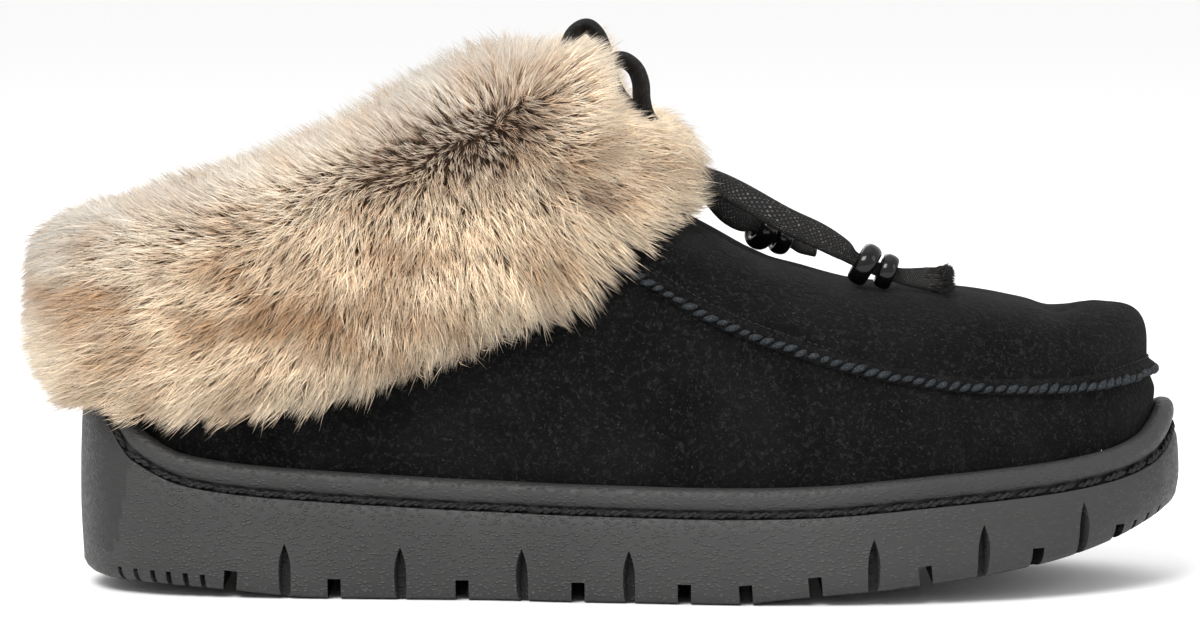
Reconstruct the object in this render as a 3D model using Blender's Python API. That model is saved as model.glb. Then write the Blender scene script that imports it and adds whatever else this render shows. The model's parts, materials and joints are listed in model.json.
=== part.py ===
"""Fur-collared moccasin mule, a right shoe, standing empty on its moulded cup sole.

+X points to the toe, +Y to the wearer's left (the inner side of a right shoe) and +Z up. Lengths
are in metres. Everything is drawn from the back end of the sole, and one empty then puts the
origin on the floor under the middle of the foot.
"""

import math
import random

import bmesh
import bpy
from mathutils import Vector

MM = 0.001

# Driving sizes of the sole
SOLE_LENGTH = 272 * MM
BALL_WIDTH = 98 * MM
HEEL_WIDTH = 71 * MM
SIDE_HEIGHT = 28.2 * MM  # floor to the top of the bead, at the ball
HEEL_CUP_HEIGHT = 54 * MM  # floor to the top of the rubber behind the heel
TOE_BUMPER_HEIGHT = 45 * MM
HEEL_SPRING = 3.6 * MM
TOE_SPRING = 19 * MM
FOOTBED_HEEL = 22 * MM  # floor to the bottom of the cup, at the heel
FOOTBED_BALL = 15.5 * MM
FOOTBED_TOE = 33 * MM
BEAD_HEIGHT = 5.4 * MM
GROOVE_HEIGHT = 2.0 * MM
GROOVE_DEPTH = 1.9 * MM
CUP_WALL = 6.2 * MM  # widest outline to the inside of the cup

# Driving sizes of the upper, as heights above the floor
BACK_HEIGHT = 80 * MM
PEAK_HEIGHT = 115 * MM
THROAT_HEIGHT = 103.5 * MM
TOE_BOX_HEIGHT = 69 * MM
SEAM_TOE_HEIGHT = 51 * MM
UPPER_WALL = 2.2 * MM
UPPER_TUCK = 1 * MM  # how far below the bead's top the wall leaves the cup
SEAM_OVER_BEAD = 6 * MM  # least rise of the seam above the bead
SEAM_RIDGE = 1.5 * MM
SEAM_HALF_WIDTH = 1.5 * MM
APRON_STEP = 0.7 * MM

# Driving sizes of the fur collar
FUR_THICKNESS = 20 * MM  # standing out from the leather at the side
FUR_CREST = 14 * MM  # standing up from the leather's edge
FUR_LIP = 5.5 * MM  # hanging over the opening
FUR_ROOT_DEPTH = 6 * MM  # drawn inside the leather's form before that form is cut away
LOCK_LENGTH = 5.5 * MM
LOCK_SEED = 7
CLEFT_HALF_WIDTH = 4.6 * MM

# Insole, lace and beads
INSOLE_THICKNESS = 5 * MM
INSOLE_EDGE = 1.6 * MM
LACE_WIDTH = 6.4 * MM
LACE_THICKNESS = 2.6 * MM
BEAD_LARGE = 10.8 * MM
BEAD_SMALL = 8.8 * MM
BEAD_BORE = 4.4 * MM
KNOT_LENGTH = 9 * MM
KNOT_HEIGHT = 8.6 * MM

FIT_GAP = 0.3 * MM
ORIGIN_SHARE = 0.472  # of the sole's length, ahead of its back end

HALF_STATIONS = 32
STATIONS = 2 * HALF_STATIONS
THROAT_STATION = 17
THROAT_PLACE = THROAT_STATION / HALF_STATIONS
RIM_LIFT = 1.8  # rise of the cutting form's edge, in clearances

# Widest outline: half width as shares of the ball and heel widths, and the middle line's shift
# towards the inner side as a share of the ball width
OUTLINE_COLUMNS = ("along", "of_ball", "of_heel", "shift")
OUTLINE = (
    (0.000, 0.000, 0.000, 0.000),
    (0.012, 0.000, 0.225, 0.000),
    (0.037, 0.000, 0.355, 0.000),
    (0.090, 0.000, 0.458, 0.000),
    (0.184, 0.000, 0.500, -0.005),
    (0.300, 0.180, 0.245, -0.030),
    (0.405, 0.368, 0.000, -0.050),
    (0.515, 0.416, 0.000, -0.050),
    (0.625, 0.474, 0.000, -0.030),
    (0.720, 0.500, 0.000, -0.010),
    (0.810, 0.482, 0.000, 0.020),
    (0.880, 0.424, 0.000, 0.045),
    (0.930, 0.345, 0.000, 0.062),
    (0.965, 0.252, 0.000, 0.073),
    (0.988, 0.150, 0.000, 0.080),
    (1.000, 0.000, 0.000, 0.082),
)

# Along the sole: the tread's rise as shares of the heel and toe spring, the bead's climb towards
# the heel cup and the toe bumper, and the cup floor's climb towards the heel and the toe
SIDE_COLUMNS = ("along", "heel_spring", "toe_spring", "to_cup", "to_bumper", "bed_heel", "bed_toe")
SIDE = (
    (0.000, 1.00, 0.000, 1.000, 0.00, 1.00, 0.00),
    (0.017, 0.95, 0.000, 0.975, 0.00, 1.00, 0.00),
    (0.030, 0.92, 0.000, 0.830, 0.00, 1.00, 0.00),
    (0.040, 0.90, 0.000, 0.670, 0.00, 1.00, 0.00),
    (0.052, 0.87, 0.000, 0.500, 0.00, 1.00, 0.00),
    (0.075, 0.82, 0.000, 0.350, 0.00, 0.99, 0.00),
    (0.100, 0.72, 0.000, 0.252, 0.00, 0.98, 0.00),
    (0.136, 0.53, 0.000, 0.190, 0.00, 0.96, 0.00),
    (0.188, 0.18, 0.000, 0.140, 0.00, 0.90, 0.00),
    (0.222, 0.00, 0.000, 0.116, 0.00, 0.84, 0.00),
    (0.254, 0.00, 0.000, 0.095, 0.00, 0.78, 0.00),
    (0.300, 0.00, 0.000, 0.070, 0.00, 0.62, 0.00),
    (0.357, 0.00, 0.000, 0.042, 0.00, 0.42, 0.00),
    (0.478, 0.00, 0.000, 0.010, 0.00, 0.12, 0.00),
    (0.560, 0.00, 0.000, 0.000, 0.00, 0.02, 0.00),
    (0.598, 0.00, 0.000, 0.000, 0.005, 0.01, 0.00),
    (0.618, 0.00, 0.040, 0.000, 0.01, 0.00, 0.00),
    (0.671, 0.00, 0.125, 0.000, 0.045, 0.00, 0.02),
    (0.720, 0.00, 0.185, 0.000, 0.11, 0.00, 0.06),
    (0.772, 0.00, 0.262, 0.000, 0.18, 0.00, 0.13),
    (0.824, 0.00, 0.360, 0.000, 0.243, 0.00, 0.27),
    (0.879, 0.00, 0.480, 0.000, 0.31, 0.00, 0.48),
    (0.922, 0.00, 0.620, 0.000, 0.39, 0.00, 0.68),
    (0.950, 0.00, 0.745, 0.000, 0.475, 0.00, 0.82),
    (0.972, 0.00, 0.860, 0.000, 0.60, 0.00, 0.91),
    (0.987, 0.00, 0.940, 0.000, 0.78, 0.00, 0.96),
    (0.994, 0.00, 0.975, 0.000, 0.91, 0.00, 0.98),
    (1.000, 0.00, 1.000, 0.000, 1.00, 0.00, 1.00),
)

# The moccasin seam, by the place on the outline: how far inside the outline, as a share of the
# ball width, how square the form above it is, how much of a quarter turn that form makes by its
# edge, and how far the seam's ridge stands out
SEAM_COLUMNS = ("place", "inset", "squareness", "arc", "ridge")
SEAM = (
    (0.000, 0.052, 2.0, 0.40, 0.0),
    (0.200, 0.070, 2.0, 0.40, 0.0),
    (0.360, 0.068, 2.0, 0.45, 0.0),
    (0.440, 0.082, 1.9, 0.60, 0.0),
    (0.500, 0.094, 1.7, 0.88, 0.7),
    (0.545, 0.098, 1.7, 1.00, 1.0),
    (0.600, 0.098, 1.8, 1.00, 1.0),
    (0.650, 0.097, 2.0, 1.00, 1.0),
    (0.720, 0.096, 2.3, 1.00, 1.0),
    (0.790, 0.092, 2.6, 1.00, 1.0),
    (0.880, 0.083, 3.0, 1.00, 1.0),
    (1.000, 0.078, 3.6, 1.00, 1.0),
)

# How far the seam's line has climbed along the sole, from its height at the toe to the throat's
SEAM_LINE_COLUMNS = ("along", "climb")
SEAM_LINE = (
    (0.000, 0.170),
    (0.100, 0.250),
    (0.200, 0.360),
    (0.300, 0.500),
    (0.400, 0.590),
    (0.470, 0.590),
    (0.518, 0.500),
    (0.548, 0.402),
    (0.581, 0.316),
    (0.618, 0.240),
    (0.654, 0.178),
    (0.688, 0.126),
    (0.724, 0.080),
    (0.765, 0.042),
    (0.802, 0.017),
    (0.846, 0.003),
    (0.890, -0.003),
    (0.934, 0.009),
    (0.967, 0.032),
    (1.000, 0.038),
)

# The collar's edge from the back to the throat: how far along and across it stands, how far it
# has climbed from the back's height to the peak's, and sunk from there to the throat's
COLLAR_COLUMNS = ("place", "along", "across", "climb", "sink")
COLLAR = (
    (0.00000, 0.024, 0.000, 0.00, 0.00),
    (0.04500, 0.031, 0.135, 0.02, 0.00),
    (0.10500, 0.060, 0.232, 0.10, 0.00),
    (0.17500, 0.112, 0.290, 0.23, 0.00),
    (0.24000, 0.170, 0.318, 0.38, 0.00),
    (0.30000, 0.232, 0.334, 0.56, 0.00),
    (0.36000, 0.305, 0.338, 0.80, 0.00),
    (0.40000, 0.358, 0.326, 0.96, 0.00),
    (0.44000, 0.403, 0.290, 1.00, 0.03),
    (0.47000, 0.434, 0.230, 1.00, 0.30),
    (0.50000, 0.457, 0.125, 1.00, 0.72),
    (0.53125, 0.471, 0.000, 1.00, 1.00),
)

# Where the apron's ridge stands along the sole, by the place on the outline, and how much of the
# fall from the throat to the toe box is left along it
RIDGE_COLUMNS = ("place", "along")
RIDGE = (
    (0.53125, 0.471),
    (0.56250, 0.533),
    (0.60000, 0.600),
    (0.65000, 0.680),
    (0.72000, 0.768),
    (0.79000, 0.843),
    (0.85000, 0.886),
    (0.90000, 0.905),
    (0.95000, 0.916),
    (1.00000, 0.922),
)
APRON_COLUMNS = ("along", "rise")
APRON = (
    (0.471, 1.000),
    (0.495, 0.860),
    (0.516, 0.740),
    (0.538, 0.650),
    (0.559, 0.560),
    (0.582, 0.455),
    (0.594, 0.410),
    (0.608, 0.360),
    (0.640, 0.290),
    (0.665, 0.231),
    (0.691, 0.183),
    (0.735, 0.148),
    (0.789, 0.111),
    (0.815, 0.077),
    (0.833, 0.046),
    (0.851, 0.020),
    (0.869, -0.006),
    (0.887, -0.022),
    (0.905, -0.014),
    (0.922, 0.000),
)

# The fur along the collar's edge, from the back to the cleft in front: how far it stands out and
# up, as shares of the fur's thickness and crest, how far the hem hangs down, as a share of the
# back height, how far it hangs over the opening, and how square its section is
FUR_COLUMNS = ("place", "reach", "crest", "hem_drop", "lip", "squareness")
FUR = (
    (0.000, 1.03, 0.90, 0.360, 1.00, 2.1),
    (0.100, 1.02, 0.88, 0.465, 1.00, 2.1),
    (0.180, 0.98, 0.84, 0.540, 1.00, 2.1),
    (0.260, 0.97, 0.86, 0.605, 1.00, 2.1),
    (0.330, 0.97, 0.98, 0.650, 1.00, 2.1),
    (0.390, 1.02, 1.14, 0.655, 1.00, 2.2),
    (0.430, 1.14, 1.18, 0.610, 1.00, 2.3),
    (0.460, 1.30, 1.08, 0.520, 0.95, 2.5),
    (0.485, 1.46, 0.92, 0.410, 0.85, 2.7),
    (0.505, 1.56, 0.80, 0.300, 0.75, 2.7),
    (0.518, 1.48, 0.66, 0.220, 0.65, 2.6),
)

# Angles round one section of the fur, from over the opening across the top and down to the hem
FUR_ANGLES = (172, 140, 108, 75, 42, 10, -14, -30, -45, -59, -74, -90)
HEM_REACH = 0.22
FIRST_LOCK_FACE = 1
LOCK_FACES = 10
CLEFT_FLARE = 0.45

# Cuts in the sole's edge, as shares of the sole's length ahead of its back end
ROUND_TOPPED_CUTS = (0.191, 0.294, 0.402, 0.497, 0.713, 0.811, 0.903)
ROUND_TOPPED_HEIGHT = 14.2 * MM
ROUND_TOPPED_WIDTH = 4.2 * MM
ROUND_TOPPED_DEPTH = 4.0 * MM
ROUND_TOPPED_DROP = 6 * MM  # drawn below the tread, so that the cut is open there
TREAD_GROOVES = (0.1415, 0.235, 0.349, 0.452, 0.546, 0.601, 0.6625, 0.760)
TOE_GROOVES = (0.861, 0.938)  # under the raised toe, closed in the middle
TOE_GROOVE_DEPTH = 24 * MM
TREAD_GROOVE_WIDTH = 3.2 * MM
TREAD_GROOVE_HEIGHT = 5.2 * MM
HEEL_SIPES = (0.040, 0.055, 0.071, 0.086, 0.1015, 0.117)
TOE_SIPES = (0.954, 0.967, 0.979)
SIPE_WIDTH = 1.3 * MM
SIPE_HEIGHT = 2.8 * MM
SIPE_DEPTH = 5.0 * MM


def table_curve(rows, columns, column, x):
    """The named column of a table at x, on a smooth curve that never overshoots its rows."""
    xs = [row[0] for row in rows]
    ys = [row[columns.index(column)] for row in rows]
    x = min(max(x, xs[0]), xs[-1])
    k = max(i for i in range(len(xs) - 1) if x >= xs[i])
    steps = [b - a for a, b in zip(xs, xs[1:])]
    slopes = [(b - a) / h for a, b, h in zip(ys, ys[1:], steps)]

    def tangent(i):
        if i == 0 or i == len(xs) - 1:
            return slopes[0] if i == 0 else slopes[-1]
        if slopes[i - 1] * slopes[i] <= 0:
            return 0.0
        before, after = steps[i - 1], steps[i]
        w1, w2 = 2 * after + before, after + 2 * before
        return (w1 + w2) / (w1 / slopes[i - 1] + w2 / slopes[i])

    h = steps[k]
    t = (x - xs[k]) / h
    return (
        ys[k] * (1 + 2 * t) * (1 - t) ** 2
        + tangent(k) * h * t * (1 - t) ** 2
        + ys[k + 1] * t * t * (3 - 2 * t)
        - tangent(k + 1) * h * t * t * (1 - t)
    )


def outline_value(column, along):
    return table_curve(OUTLINE, OUTLINE_COLUMNS, column, along)


def side_value(column, along):
    return table_curve(SIDE, SIDE_COLUMNS, column, along)


def seam_value(column, place):
    return table_curve(SEAM, SEAM_COLUMNS, column, place)


def collar_value(column, place):
    return table_curve(COLLAR, COLLAR_COLUMNS, column, place)


def fur_value(column, place):
    return table_curve(FUR, FUR_COLUMNS, column, place)


def half_width(along):
    """Half the sole's width. Near the ends it follows the square root, which rounds them."""
    ends = OUTLINE[1][0], OUTLINE[-2][0]
    if along < ends[0]:
        return half_width(ends[0]) * math.sqrt(max(along, 0) / ends[0])
    if along > ends[1]:
        return half_width(ends[1]) * math.sqrt(max(1 - along, 0) / (1 - ends[1]))
    return BALL_WIDTH * outline_value("of_ball", along) + HEEL_WIDTH * outline_value("of_heel", along)


def middle_line(along):
    return BALL_WIDTH * outline_value("shift", along)


def place_along(place):
    """Share of the length at a place on the outline, 0 at the back and 1 at the toe."""
    return (1 - math.cos(math.pi * place)) / 2


def outline_point(turn, inset=0.0):
    """A point on the outline, 0 to 1 up the outer side and 1 to 2 back down the inner side."""

    def raw(at):
        place, side = (at, -1) if at <= 1 else (2 - at, 1)
        along = place_along(abs(place))
        side = side if place >= 0 else -side
        return Vector((SOLE_LENGTH * along, middle_line(along) + side * half_width(along), 0))

    step = 0.004
    tangent = (raw(turn + step) - raw(turn - step)).normalized()
    outward = Vector((tangent.y, -tangent.x, 0))
    return raw(turn) - outward * inset, outward


def tread_height(x):
    along = x / SOLE_LENGTH
    return HEEL_SPRING * side_value("heel_spring", along) + TOE_SPRING * side_value("toe_spring", along)


def bead_top(x):
    along = x / SOLE_LENGTH
    return (
        SIDE_HEIGHT
        + (HEEL_CUP_HEIGHT - SIDE_HEIGHT) * side_value("to_cup", along)
        + (TOE_BUMPER_HEIGHT - SIDE_HEIGHT) * side_value("to_bumper", along)
    )


def cup_floor(x):
    along = x / SOLE_LENGTH
    return (
        FOOTBED_BALL
        + (FOOTBED_HEEL - FOOTBED_BALL) * side_value("bed_heel", along)
        + (FOOTBED_TOE - FOOTBED_BALL) * side_value("bed_toe", along)
    )


def seam_height(x):
    climb = table_curve(SEAM_LINE, SEAM_LINE_COLUMNS, "climb", x / SOLE_LENGTH)
    return SEAM_TOE_HEIGHT + (THROAT_HEIGHT - SEAM_TOE_HEIGHT) * climb


def crown_point(place, side):
    """A point of the collar's edge or, ahead of the throat, of the apron's ridge."""
    if place < THROAT_PLACE:
        along, across = collar_value("along", place), collar_value("across", place)
        height = (
            BACK_HEIGHT
            + (PEAK_HEIGHT - BACK_HEIGHT) * collar_value("climb", place)
            + (THROAT_HEIGHT - PEAK_HEIGHT) * collar_value("sink", place)
        )
    else:
        along, across = table_curve(RIDGE, RIDGE_COLUMNS, "along", place), 0.0
        rise = table_curve(APRON, APRON_COLUMNS, "rise", along)
        height = TOE_BOX_HEIGHT + (THROAT_HEIGHT - TOE_BOX_HEIGHT) * rise
    shift = middle_line(along) * min(max((place - 0.5) / 0.2, 0), 1)
    return Vector((SOLE_LENGTH * along, side * BALL_WIDTH * across + shift, height))


def station_turn(i):
    return i / HALF_STATIONS


def station_place(i):
    turn = station_turn(i)
    return turn if turn <= 1 else 2 - turn


def mirrored(i):
    return (STATIONS - i) % STATIONS


def station_side(i):
    return -1 if station_turn(i) <= 1 else 1


def new_object(name, bm, colour, roughness, metallic=0.0):
    """An object for this bmesh, faces turned outwards, with a material of its own."""
    mesh = bpy.data.meshes.new(name)
    bm.to_mesh(mesh)
    bm.free()
    obj = bpy.data.objects.new(name, mesh)
    bpy.context.scene.collection.objects.link(obj)
    finish(obj, colour, roughness, metallic)
    mesh.shade_smooth()
    mesh.set_sharp_from_angle(angle=math.radians(40))
    return obj


def finish(obj, colour, roughness, metallic=0.0):
    material = bpy.data.materials.new(obj.name)
    material.use_nodes = True
    shader = material.node_tree.nodes["Principled BSDF"]
    shader.inputs["Base Color"].default_value = (*colour, 1)
    shader.inputs["Roughness"].default_value = roughness
    shader.inputs["Metallic"].default_value = metallic
    obj.data.materials.append(material)


def join_rings(bm, rings, closed=True):
    """Quads between each ring of vertices and the next, left out where a ring has collapsed."""
    count = len(rings[0])
    for low, high in zip(rings, rings[1:]):
        for i in range(count if closed else count - 1):
            k = (i + 1) % count
            corners = []
            for vert in (low[i], low[k], high[k], high[i]):
                if vert not in corners:
                    corners.append(vert)
            if len(corners) > 2 and bm.faces.get(corners) is None:
                bm.faces.new(corners)


def split_quads(bm):
    """Splits every quad the same way, so that two grids of one surface match."""
    quads = [face for face in bm.faces if len(face.verts) == 4]
    bmesh.ops.triangulate(bm, faces=quads, quad_method="FIXED")


def ring_of(bm, points):
    return [bm.verts.new(point) for point in points]


def close_over(bm, ring, rows, height):
    """Fills a ring with rows of vertices that draw in to one line down the sole's middle."""
    count = len(ring)
    spine = []
    for i in range(count // 2 + 1):
        pair = ring[i].co, ring[-i % count].co
        x = min(max((pair[0].x + pair[1].x) / 2, 0.10 * SOLE_LENGTH), 0.90 * SOLE_LENGTH)
        spine.append(Vector((x, middle_line(x / SOLE_LENGTH), height(x))))
    kept = []
    for point in spine:
        same = kept and (kept[-1].co - point).length < 0.1 * MM
        kept.append(kept[-1] if same else bm.verts.new(point))
    rings = [ring]
    for row in range(1, rows):
        points = []
        for i, vert in enumerate(ring):
            point = vert.co.lerp(spine[min(i, count - i)], row / rows)
            point.z = height(point.x)
            points.append(bm.verts.new(point))
        rings.append(points)
    rings.append([kept[min(i, count - i)] for i in range(count)])
    return rings


def bead_stretch(x):
    """How much taller the bead is drawn where its line climbs, so that it stays as thick."""
    step = 1.5 * MM
    climb = abs(bead_top(x + step) - bead_top(x - step)) / (2 * step)
    return min(math.sqrt(1 + (0.5 * climb) ** 2), 1.35)


def sole_wall(x):
    """The sole's side from the tread up over the bead and down into the cup: insets and heights."""
    low, top = tread_height(x), bead_top(x)
    stretch = bead_stretch(x)
    bead = BEAD_HEIGHT * stretch
    groove = GROOVE_HEIGHT * stretch
    wall_top = top - bead - groove
    middle = low + 0.42 * (wall_top - low)
    return (
        (5.0 * MM, low),
        (2.3 * MM, low + 0.6 * MM),
        (0.7 * MM, low + 2.8 * MM),
        (0.0, middle),
        (0.9 * MM, wall_top),
        (0.9 * MM + GROOVE_DEPTH, wall_top + 0.3 * MM),
        (0.9 * MM + GROOVE_DEPTH, wall_top + groove),
        (1.5 * MM, top - 0.80 * bead),
        (1.3 * MM, top - 0.45 * bead),
        (2.3 * MM, top - 0.10 * bead),
        (4.2 * MM, top),
        (CUP_WALL, top - 0.25 * bead),
    )


def sole_ring(bm, k, grow=0.0):
    """One ring round the sole's side, pushed outwards, or into the cup, and up by a clearance."""
    points = []
    for i in range(STATIONS):
        base = outline_point(station_turn(i))[0]
        inset, height = sole_wall(base.x)[k]
        away = -grow if inset < CUP_WALL else grow
        point = outline_point(station_turn(i), inset + away)[0]
        point.z = height + grow
        points.append(point)
    return ring_of(bm, points)


def floor_ring(bm, inset, height):
    points = []
    for i in range(STATIONS):
        point = outline_point(station_turn(i), inset)[0]
        point.z = height(point.x)
        points.append(point)
    return ring_of(bm, points)


def build_sole():
    bm = bmesh.new()
    rings = [sole_ring(bm, k) for k in range(len(sole_wall(0)))]
    rings.append(floor_ring(bm, CUP_WALL, cup_floor))
    join_rings(bm, rings)
    join_rings(bm, close_over(bm, rings[0], 1, tread_height))
    join_rings(bm, close_over(bm, rings[-1], 1, cup_floor))
    bmesh.ops.recalc_face_normals(bm, faces=bm.faces)
    sole = new_object("sole", bm, (0.075, 0.073, 0.075), 0.62)
    cut_away(sole, sole_cuts())
    return sole


def sole_form(grow):
    """The sole without its groove and cuts, grown by a clearance, for cutting."""
    bm = bmesh.new()
    rings = [sole_ring(bm, k, grow) for k in (1, 2, 3, 4, 8, 9, 10, 11)]
    rings.append(floor_ring(bm, CUP_WALL + grow, cup_floor))
    join_rings(bm, rings)
    join_rings(bm, close_over(bm, rings[0], 1, tread_height))
    join_rings(bm, close_over(bm, rings[-1], 1, cup_floor))
    bmesh.ops.recalc_face_normals(bm, faces=bm.faces)
    return helper("sole_form", bm)


def block(bm, centre, size, outward):
    """A box of this size, its X turned to face outward in plan."""
    made = bmesh.ops.create_cube(bm, size=1)["verts"]
    turn = math.atan2(outward.y, outward.x)
    for vert in made:
        point = Vector((vert.co.x * size[0], vert.co.y * size[1], vert.co.z * size[2]))
        cos, sin = math.cos(turn), math.sin(turn)
        vert.co = centre + Vector((point.x * cos - point.y * sin, point.x * sin + point.y * cos, point.z))


def round_topped(bm, centre, outward):
    """A tall cut with a pointed arch, closed at its back, standing on the floor line."""
    half, tall = ROUND_TOPPED_WIDTH / 2, ROUND_TOPPED_HEIGHT
    arch = [(-half, -ROUND_TOPPED_DROP), (-half, 0.45 * tall), (-0.78 * half, 0.74 * tall), (-0.3 * half, 0.95 * tall)]
    arch += [(0.3 * half, 0.95 * tall), (0.78 * half, 0.74 * tall), (half, 0.45 * tall), (half, -ROUND_TOPPED_DROP)]
    side = Vector((-outward.y, outward.x, 0))
    ends = []
    for depth in (-ROUND_TOPPED_DEPTH, ROUND_TOPPED_DEPTH):
        lean = 0.45 if depth < 0 else 1.0
        row = []
        for across, up in arch:
            up = up * (0.86 if depth < 0 and up > 0 else 1)
            row.append(bm.verts.new(centre + outward * depth + side * across * lean + Vector((0, 0, up))))
        ends.append(row)
    join_rings(bm, ends)
    bm.faces.new(ends[0][::-1])
    bm.faces.new(ends[1])


def turn_at(along, side):
    place = math.acos(1 - 2 * along) / math.pi
    return place if side < 0 else 2 - place


def sole_cuts():
    """One cutter for every groove across the tread and every cut in the sole's edge."""
    bm = bmesh.new()
    for along in TREAD_GROOVES:
        x = along * SOLE_LENGTH
        slope = math.atan2(tread_height(x + MM) - tread_height(x - MM), 2 * MM)
        centre = Vector((x, 0, tread_height(x)))
        made = bmesh.ops.create_cube(bm, size=1)["verts"]
        for vert in made:
            up = vert.co.z * 2 * TREAD_GROOVE_HEIGHT
            across = vert.co.x * TREAD_GROOVE_WIDTH
            vert.co = centre + Vector(
                (across * math.cos(slope) - up * math.sin(slope), vert.co.y * 1.4 * BALL_WIDTH,
                 across * math.sin(slope) + up * math.cos(slope))
            )
    for side in (-1, 1):
        for along in ROUND_TOPPED_CUTS:
            point, outward = outline_point(turn_at(along, side))
            point.z = tread_height(point.x)
            round_topped(bm, point, outward)
        for along in TOE_GROOVES:
            point, outward = outline_point(turn_at(along, side), 5 * MM)
            point.z = tread_height(point.x)
            block(bm, point, (TOE_GROOVE_DEPTH, TREAD_GROOVE_WIDTH, 2 * TREAD_GROOVE_HEIGHT), outward)
        for along in HEEL_SIPES + TOE_SIPES:
            point, outward = outline_point(turn_at(along, side), 1.5 * MM)
            point.z = tread_height(point.x) + 0.8 * MM
            block(bm, point, (SIPE_DEPTH, SIPE_WIDTH, 2 * SIPE_HEIGHT), outward)
    bmesh.ops.recalc_face_normals(bm, faces=bm.faces)
    return helper("sole_cuts", bm)


def helper(name, bm):
    """A cutter, which isn't part of the shoe."""
    mesh = bpy.data.meshes.new(name)
    bm.to_mesh(mesh)
    bm.free()
    cutter = bpy.data.objects.new(name, mesh)
    bpy.context.scene.collection.objects.link(cutter)
    cutter.hide_render = True
    cutter.display_type = "WIRE"
    return cutter


def cut_away(obj, cutter, self_crossing=True):
    modifier = obj.modifiers.new("cut", "BOOLEAN")
    modifier.operation = "DIFFERENCE"
    modifier.object = cutter
    modifier.solver = "EXACT"
    modifier.use_self = self_crossing
    return modifier


SEAM_ROW = 5
APRON_ROWS = 5  # above the seam's own three rows


def upper_profile(i):
    """The outer face of the upper at one station, from inside the cup to the edge or ridge."""
    turn, place, side = station_turn(i), station_place(i), station_side(i)
    base = outline_point(turn)[0]
    fit = CUP_WALL + FIT_GAP
    rim = bead_top(base.x)
    seam_inset = BALL_WIDTH * seam_value("inset", place)
    seam_z = max(seam_height(outline_point(turn, seam_inset)[0].x), rim + SEAM_OVER_BEAD)
    rows = (
        (fit, rim - UPPER_TUCK),
        (fit + 0.10 * (seam_inset - fit) - 0.5 * UPPER_TUCK, rim + 0.30 * (seam_z - rim)),
        (fit + 0.50 * (seam_inset - fit), rim + 0.72 * (seam_z - rim)),
        (seam_inset, seam_z),
    )
    points = [outline_point(turn, fit)[0]]
    points[0].z = cup_floor(points[0].x) + FIT_GAP
    for inset, height in rows:
        point = outline_point(turn, inset)[0]
        point.z = height
        points.append(point)
    seam, crown = points.pop(), crown_point(place, side)
    power = 2 / seam_value("squareness", place)
    apron = []
    arc = math.pi / 2 * seam_value("arc", place)
    for row in range(1, APRON_ROWS + 1):
        angle = arc * row / APRON_ROWS
        inward = (1 - max(math.cos(angle), 0) ** power) / (1 - max(math.cos(arc), 0) ** power)
        upward = (math.sin(angle) / math.sin(arc)) ** power
        point = seam.lerp(crown, inward)
        point.z = seam.z + (crown.z - seam.z) * upward
        apron.append(point)
    below = seam + (points[-1] - seam).normalized() * SEAM_HALF_WIDTH
    above = seam + (apron[0] - seam).normalized() * SEAM_HALF_WIDTH
    return points + [below, seam, above] + apron


def is_front(i):
    return station_place(i) >= THROAT_PLACE - 1e-9


def upper_grid(bm):
    """The last's own surface as columns of vertices, with both halves sharing the apron's ridge."""
    columns = []
    for i in range(STATIONS):
        points = upper_profile(i)
        column = [bm.verts.new(point) for point in points[:-1]]
        if is_front(i) and mirrored(i) < i:
            column.append(columns[mirrored(i)][-1])
        else:
            column.append(bm.verts.new(points[-1]))
        columns.append(column)
    return columns


def relief(place, row):
    """How far a row stands out from the last: the seam's raised ridge and the step above it."""
    strength = seam_value("ridge", place)
    if row == SEAM_ROW:
        return SEAM_RIDGE * strength
    if row == SEAM_ROW + 1:
        return -APRON_STEP * strength
    return 0.0


def edge_height(x, side, fallback):
    """Height of the collar's edge, as the straight pieces between its stations have it, at x."""
    edge = [crown_point(station_place(i), side) for i in range(THROAT_STATION + 1)]
    for low, high in zip(edge, edge[1:]):
        if low.x <= x <= high.x:
            return low.z + (high.z - low.z) * (x - low.x) / (high.x - low.x)
    return fallback


def build_upper():
    bm = bmesh.new()
    columns = upper_grid(bm)
    rings = [list(ring) for ring in zip(*columns)]
    join_rings(bm, rings)
    split_quads(bm)
    bmesh.ops.recalc_face_normals(bm, faces=bm.faces)
    bm.normal_update()
    normals = {vert: vert.normal.copy() for vert in bm.verts}
    for column in columns:
        for vert in (column[0], column[-1]):
            if vert.is_boundary and (vert is column[0] or normals[vert].z < 0):
                normals[vert].z = 0
                normals[vert].normalize()
    inner = {vert: bm.verts.new(vert.co - normals[vert] * UPPER_WALL) for vert in normals}
    for i, column in enumerate(columns):
        if not is_front(i):
            rim = inner[column[-1]]
            rim.co.z = min(rim.co.z, edge_height(rim.co.x, station_side(i), rim.co.z))
    for face in list(bm.faces):
        bm.faces.new([inner[vert] for vert in reversed(face.verts)])
    for edge in [edge for edge in bm.edges if edge.is_boundary and edge.verts[0] in inner]:
        a, b = edge.verts
        loop = edge.link_loops[0]
        if loop.vert is not a:
            a, b = b, a
        bm.faces.new([b, a, inner[a], inner[b]])
    moved = set()
    for i, column in enumerate(columns):
        for row, vert in enumerate(column):
            if vert not in moved:
                vert.co += normals[vert] * relief(station_place(i), row)
                moved.add(vert)
    return new_object("upper", bm, (0.012, 0.012, 0.013), 0.95)


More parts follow.
